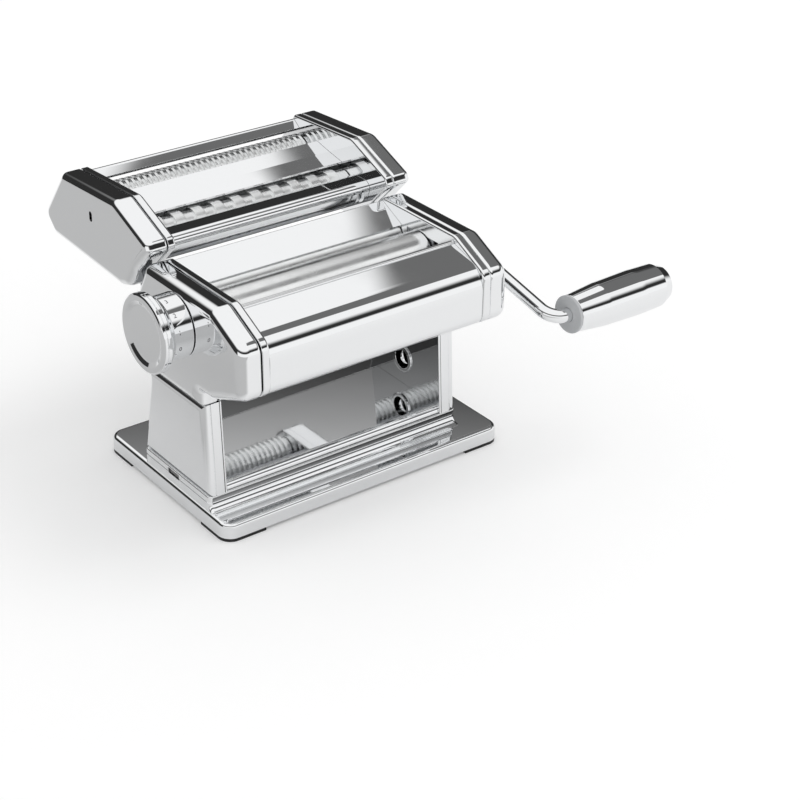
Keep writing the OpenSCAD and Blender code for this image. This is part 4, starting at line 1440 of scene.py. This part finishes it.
@dataclass
class CutterHead(Assembly):
    """Cutter head that lifts off: covers, strips and two pairs of ring cutters."""

    box: Box = Box(4.0, 116.0, 114.5, 49.0)
    shares: tuple[Corner, ...] = (
        (0.82, 0.93, 0.06), (0.306, 1, 0.2), (0.022, 0.735, 0.08), (0, 0.633, 0.06), (0.143, 0.286, 0.3),
        (0.2, 0.06, 0.15), (0.28, 0, 0.2), (0.93, 0.07, 0.15), (1.03, 0.29, 0.15),
    )
    rods: tuple[Flat, ...] = ((0.21, 0.327), (0.576, 0.604), (0.69, 0.139))
    rod_bore: float = 2.4
    back: tuple[Corner, ...] = ((0.768, 0.8, 0), (0.828, 0.9, 0.06), (0.893, 0.66, 0))
    middle: tuple[Corner, ...] = ((0.388, 0.648, 0), (0.498, 0.695, 0.1), (0.607, 0.75, 0))
    front: tuple[Corner, ...] = (
        (0.17, 0.33, 0), (0.133, 0.575, 0.085), (0.262, 0.575, 0.04), (0.293, 0.555, 0),
    )
    slot: tuple[Corner, ...] = (
        (63.5, 144.0, 1.4), (66.5, 144.0, 1.4), (66.5, 150.0, 1.4), (63.5, 150.0, 1.4),
    )
    dome: float = 4.8
    rim: float = 1.6
    half: float = 69.5
    ring_radius: float = 10.0
    ring_edge: float = 0.3
    ring_sunk: float = 0.6
    root: float = 8.35
    root_edge: float = 0.2
    driven_journal: float = 6.4
    plain_journal: float = 4.5
    bore_play: float = 0.06
    socket_hole: float = 6.8
    play: float = 0.15
    trains: tuple[Train, ...] = (
        Train("wide_front_cutter", "wide_drive", (46.0, 135.5), 6.5, 10, 96, True),
        Train("wide_rear_cutter", "wide_partner", (64.1935, 131.633), 6.5, 9, 96, False),
        Train("fine_front_cutter", "fine_drive", (90.0, 142.0), 1.92, 36, 72, True),
        Train("fine_rear_cutter", "fine_partner", (105.774, 132.144), 1.92, 35, 72, False),
    )

    def journal(self, train: Train) -> float:
        """Radius of the journals of a cutter."""
        return self.driven_journal if train.driven else self.plain_journal

    def wall(self, side: Side) -> None:
        """Side plate with the bores of the cutters and the tie rods.

        Args:
            side: Its side.
        """
        order = sorted(self.trains, key=lambda train: not train.driven)
        places = [(*train.axle, self.journal(train) + self.bore_play) for train in order]
        bores = self.holes(self.through_plate, side, places)
        rods = self.rod_holes(side, self.box, self.rods, self.rod_bore)
        piece = self.plate(f"{side.word}_cutter_wall", self.box.place(self.shares), side, bores + rods)
        dress(piece, FLAT_CHROME, "cutter_head", f"cutter_{side.word}_plate")

    def cover(self, side: Side) -> None:
        """Pressed cap: a small slot in the left one, a hole for each socket in the right one.

        Args:
            side: Its side.
        """
        rings = self.cup(self.box.place(self.shares), self.dome, self.rim, side)
        piece = self.shop.make(f"{side.word}_cutter_cover", rings)
        if side is Side.KNOB:
            cuts = [Skin().loft([along_x(rounded(self.slot, 6), x) for x in side.span(self.through_cap)])]
        else:
            sockets = [(*t.axle, self.socket_hole) for t in self.trains if t.driven]
            cuts = self.holes(self.through_cap, side, sockets)
        self.shop.work(piece, cuts)
        dress(piece, CHROME, "cutter_head", f"cutter_{side.word}_cap")

    def cutter(self, train: Train) -> None:
        """One roller with its train of cutting rings.

        Args:
            train: The roller and its rings.
        """
        journal = self.journal(train)
        body = Spindle(self.root, self.half, self.root_edge, journal, train.driven, sides=96, steps=5)
        piece = self.shop.make(f"turned_{train.node}", body.skin(train.axle))
        pitch = 2 * train.ribbon
        grown(piece, ring_train(), {
            "Count": train.rings, "Pitch": pitch * MM, "First": -(train.rings - 1) / 2 * pitch * MM,
            "Mean Radius": (self.ring_radius + self.root - self.ring_sunk) / 2 * MM,
            "Height": (self.ring_radius - self.root + self.ring_sunk) * MM,
            "Width": (train.ribbon - self.play) * MM,
            "Edge": min(self.ring_edge, train.ribbon / 10) * MM, "Edge Steps": 3, "Sides": train.sides,
            "Axle": self.shop.at(0.0, *train.axle), "Finish": CUT_ALUMINIUM.material(),
        })
        dress(piece, CUT_ALUMINIUM, train.body, train.node)

    def build(self) -> None:
        """Builds the cutter head and dresses what is hidden in it."""
        for side in Side:
            self.wall(side)
            self.cover(side)
        strips = (
            ("cutter_back_plate", "rear_guide", self.back),
            ("cutter_middle_bar", "middle_guide", self.middle),
            ("cutter_front_plate", "front_guide", self.front),
        )
        for node, name, shares in strips:
            piece = self.bent(name, self.box.place(shares), self.between, self.sheet)
            dress(piece, CHROME, "cutter_head", node, edge=Edge.FINE)
        for train in self.trains:
            self.cutter(train)
        repaint(self.frame, ZINC_STEEL, "cutter_tie_rods", "cutter_left_shoe", "cutter_right_shoe",
                "wide_comb", "fine_comb", "wide_front_gear", "wide_rear_gear", "fine_front_gear",
                "fine_rear_gear")


# Studio

WHITE = (1.0, 1.0, 1.0, 1.0)
SMOOTH = {"interpolation_type": "SMOOTHSTEP"}
TIMES = {"operation": "MULTIPLY"}
LESS = {"operation": "SUBTRACT"}
LARGER = {"operation": "MAXIMUM"}
NUMBERS = {"data_type": "FLOAT"}


@dataclass
class Studio:
    """Pale floor, soft light and the camera at the photograph's angle.

    Directions of the world are shares of a unit length: their X and Y over their Z place the dark
    screen as on a ceiling at height 1.
    """

    shop: Shop
    floor_size: float = 14.0
    floor_colour: str = "#F7F7F7"
    floor_glow: float = 0.12
    glow_in_mirrors: float = 0.05
    # Painted shadow on the floor that only mirrors see: where it starts and ends to the left, in metres, and
    # how dark it gets
    shaded_from: float = -0.13
    shaded_to: float = -0.24
    shaded: float = 0.6
    sky: float = 0.86
    wall_level: float = 0.03
    wall_from: float = 0.46
    wall_to: float = 0.64
    gap_from: float = 0.27
    gap_to: float = 0.36
    gap_ends: Flat = (0.1, -0.1)
    least_rise: float = 0.01
    screen_level: float = 0.16
    screen_at: float = 0.61
    screen_slant: float = 0.2
    screen_soft: float = 0.03
    step_from: float = 0.14
    step_to: float = 0.02
    step: float = 0.1
    screen_right: Flat = (1.6, 1.5)
    screen_front: Flat = (-0.4, -0.36)
    screen_back: Flat = (1.15, 1.0)
    lamp_watts: float = 42.0
    lamp_size: float = 3.0
    lamp_at: Corner = (2.8, -1.0, 4.4)
    lamp_to: Corner = (0.0, 0.0, 0.05)
    lens: float = 85.66
    sensor: float = 36.0
    shift: Flat = (0.0458, -0.0082)
    sight: float = 50.0
    angles: Corner = (36.72, 29.06, 0.6)
    eye: Corner = (-540.4, -793.3, 570.5)

    def floor_paper(self) -> bpy.types.Material:
        """Material of the floor: white to the camera; to mirrors it carries a painted shadow, darker where it
        is far to the left.

        Returns:
            The material.
        """
        made = bpy.data.materials.new("pale_floor")
        made.use_nodes = True
        tree = made.node_tree
        tree.nodes.clear()
        way = add(tree, "ShaderNodeTexCoord", {}, {}).outputs["Object"]
        part = add(tree, "ShaderNodeSeparateXYZ", {}, {0: way}).outputs
        seen = add(tree, "ShaderNodeLightPath", {}, {}).outputs
        # Painted shadow: the floor grows darker to the left, for glossy rays only
        painted_shadow = add(tree, "ShaderNodeMapRange", SMOOTH,
                       {"Value": part["X"], "From Min": self.shaded_from, "From Max": self.shaded_to,
                        "To Min": 1.0, "To Max": self.shaded})
        tone = add(tree, "ShaderNodeMix", NUMBERS, {0: seen["Is Glossy Ray"], 2: 1.0, 3: painted_shadow.outputs[0]})
        colour = add(tree, "ShaderNodeVectorMath", {"operation": "SCALE"},
                     {0: linear(self.floor_colour)[:3], "Scale": tone.outputs[0]})
        paper = add(tree, "ShaderNodeBsdfDiffuse", {}, {"Color": colour.outputs[0]})
        shown = add(tree, "ShaderNodeMath", {"operation": "MULTIPLY_ADD"},
                    {0: seen["Is Glossy Ray"], 1: self.glow_in_mirrors, 2: seen["Is Camera Ray"]})
        lift = add(tree, "ShaderNodeMath", TIMES, {0: shown.outputs[0], 1: self.floor_glow})
        glow = add(tree, "ShaderNodeEmission", {}, {"Color": WHITE, "Strength": lift.outputs[0]})
        both = add(tree, "ShaderNodeAddShader", {}, {0: paper.outputs[0], 1: glow.outputs[0]})
        add(tree, "ShaderNodeOutputMaterial", {}, {"Surface": both.outputs[0]})
        return made

    def floor(self) -> None:
        """Large pale floor that keeps the machine's shadow."""
        mesh = bpy.data.meshes.new("floor")
        half = self.floor_size / 2
        corners = [(-half, -half, 0), (half, -half, 0), (half, half, 0), (-half, half, 0)]
        mesh.from_pydata(corners, [], [(0, 1, 2, 3)])
        mesh.materials.append(self.floor_paper())
        plane = bpy.data.objects.new("studio_floor", mesh)
        bpy.context.scene.collection.objects.link(plane)

    def walls(self, tree: bpy.types.NodeTree, part: Any) -> bpy.types.NodeSocket:
        """Level of the surroundings in mirrors: a dark wall all round, open under it in front.

        Args:
            tree: The world's tree.
            part: The direction's three shares.

        Returns:
            The socket that gives the level.
        """
        over = add(tree, "ShaderNodeMapRange", SMOOTH,
                   {"Value": part["Z"], "From Min": self.wall_from, "From Max": self.wall_to,
                    "To Min": self.wall_level, "To Max": 1.0})
        under = add(tree, "ShaderNodeMapRange", SMOOTH,
                    {"Value": part["Z"], "From Min": self.gap_to, "From Max": self.gap_from})
        in_front = add(tree, "ShaderNodeMapRange", SMOOTH,
                       {"Value": part["Y"], "From Min": self.gap_ends[0], "From Max": self.gap_ends[1]})
        gap = add(tree, "ShaderNodeMath", TIMES, {0: under.outputs[0], 1: in_front.outputs[0]})
        return add(tree, "ShaderNodeMath", LARGER, {0: over.outputs[0], 1: gap.outputs[0]}).outputs[0]

    def screen(self, tree: bpy.types.NodeTree, part: Any) -> bpy.types.NodeSocket:
        """How much of the dark screen overhead lies in a direction.

        Args:
            tree: The world's tree.
            part: The direction's three shares.

        Returns:
            The socket that gives the share from 0 to 1.
        """
        rise = add(tree, "ShaderNodeMath", LARGER, {0: part["Z"], 1: self.least_rise}).outputs[0]
        across, back = (
            add(tree, "ShaderNodeMath", {"operation": "DIVIDE"}, {0: part[axis], 1: rise}).outputs[0]
            for axis in "XY"
        )
        slant = add(tree, "ShaderNodeMath", {"operation": "MULTIPLY_ADD"},
                    {0: back, 1: self.screen_slant, 2: self.screen_at})
        ahead = add(tree, "ShaderNodeMapRange", SMOOTH,
                    {"Value": back, "From Min": self.step_from, "From Max": self.step_to,
                     "To Max": self.step})
        edge = add(tree, "ShaderNodeMath", LESS, {0: slant.outputs[0], 1: ahead.outputs[0]})
        past = add(tree, "ShaderNodeMath", LESS, {0: across, 1: edge.outputs[0]}).outputs[0]
        limits = ((past, (0.0, self.screen_soft)), (across, self.screen_right), (back, self.screen_front),
                  (back, self.screen_back))
        inside: Any = 1.0
        for socket, (none, full) in limits:
            ramp = add(tree, "ShaderNodeMapRange", SMOOTH,
                       {"Value": socket, "From Min": none, "From Max": full})
            inside = add(tree, "ShaderNodeMath", TIMES, {0: inside, 1: ramp.outputs[0]}).outputs[0]
        return inside

    def world(self) -> None:
        """White surroundings; mirrors also see the dark walls low down and one dark screen."""
        world = bpy.data.worlds.new("studio")
        bpy.context.scene.world = world
        world.use_nodes = True
        tree = world.node_tree
        tree.nodes.clear()
        way = add(tree, "ShaderNodeTexCoord", {}, {}).outputs["Generated"]
        part = add(tree, "ShaderNodeSeparateXYZ", {}, {0: way}).outputs
        dim = add(tree, "ShaderNodeMapRange", {},
                  {"Value": self.screen(tree, part), "To Min": 1.0, "To Max": self.screen_level})
        mirrored = add(tree, "ShaderNodeMath", TIMES, {0: self.walls(tree, part), 1: dim.outputs[0]})
        seen = add(tree, "ShaderNodeLightPath", {}, {}).outputs
        clear = add(tree, "ShaderNodeMath", LARGER,
                    {0: seen["Is Camera Ray"], 1: seen["Is Transmission Ray"]})
        for_light = add(tree, "ShaderNodeMix", NUMBERS, {0: clear.outputs[0], 2: self.sky, 3: 1.0})
        strength = add(tree, "ShaderNodeMix", NUMBERS,
                       {0: seen["Is Glossy Ray"], 2: for_light.outputs[0], 3: mirrored.outputs[0]})
        shade = add(tree, "ShaderNodeBackground", {}, {"Color": WHITE, "Strength": strength.outputs[0]})
        add(tree, "ShaderNodeOutputWorld", {}, {"Surface": shade.outputs[0]})

    def lamps(self) -> None:
        """One large soft lamp on the right; mirrors see the white surroundings in its place."""
        data = bpy.data.lights.new("key_light", "AREA")
        data.shape = "SQUARE"
        data.size = self.lamp_size
        data.energy = self.lamp_watts
        lamp = bpy.data.objects.new("key_light", data)
        bpy.context.scene.collection.objects.link(lamp)
        lamp.location = self.lamp_at
        lamp.visible_glossy = False
        beam = Vector(self.lamp_to) - Vector(self.lamp_at)
        lamp.rotation_euler = beam.to_track_quat("-Z", "Y").to_euler()

    def camera(self) -> None:
        """Camera at the angle, distance and framing of the photograph."""
        data = bpy.data.cameras.new("photo_camera")
        data.lens, data.sensor_width = self.lens, self.sensor
        data.shift_x, data.shift_y = self.shift
        data.clip_end = self.sight
        eye = bpy.data.objects.new("photo_camera", data)
        bpy.context.scene.collection.objects.link(eye)
        yaw, pitch, roll = (math.radians(a) for a in self.angles)
        ahead = Vector((math.sin(yaw) * math.cos(pitch), math.cos(yaw) * math.cos(pitch), -math.sin(pitch)))
        right = Vector((math.cos(yaw), -math.sin(yaw), 0.0))
        up = right.cross(ahead)
        rolled_right = right * math.cos(roll) + up * math.sin(roll)
        rolled_up = up * math.cos(roll) - right * math.sin(roll)
        turn = Matrix((rolled_right, rolled_up, -ahead)).transposed()
        eye.matrix_world = Matrix.Translation(self.shop.at(*self.eye)) @ turn.to_4x4()
        bpy.context.scene.camera = eye

    def build(self) -> None:
        """Builds the studio."""
        self.floor()
        self.world()
        self.lamps()
        self.camera()
        bpy.context.scene.view_settings.view_transform = "Standard"


def main() -> None:
    """Builds the machine around its frame, then the studio."""
    logging.basicConfig(level=logging.INFO, format="%(message)s")
    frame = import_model()
    shop = Shop.from_frame()
    for part in (Base, Legs, Head, SmoothRollers, Crank, Regulator, CutterHead):
        LOG.info("building %s", part.__name__)
        part(shop, frame).build()
    Studio(shop).build()


if __name__ == "__main__":
    main()
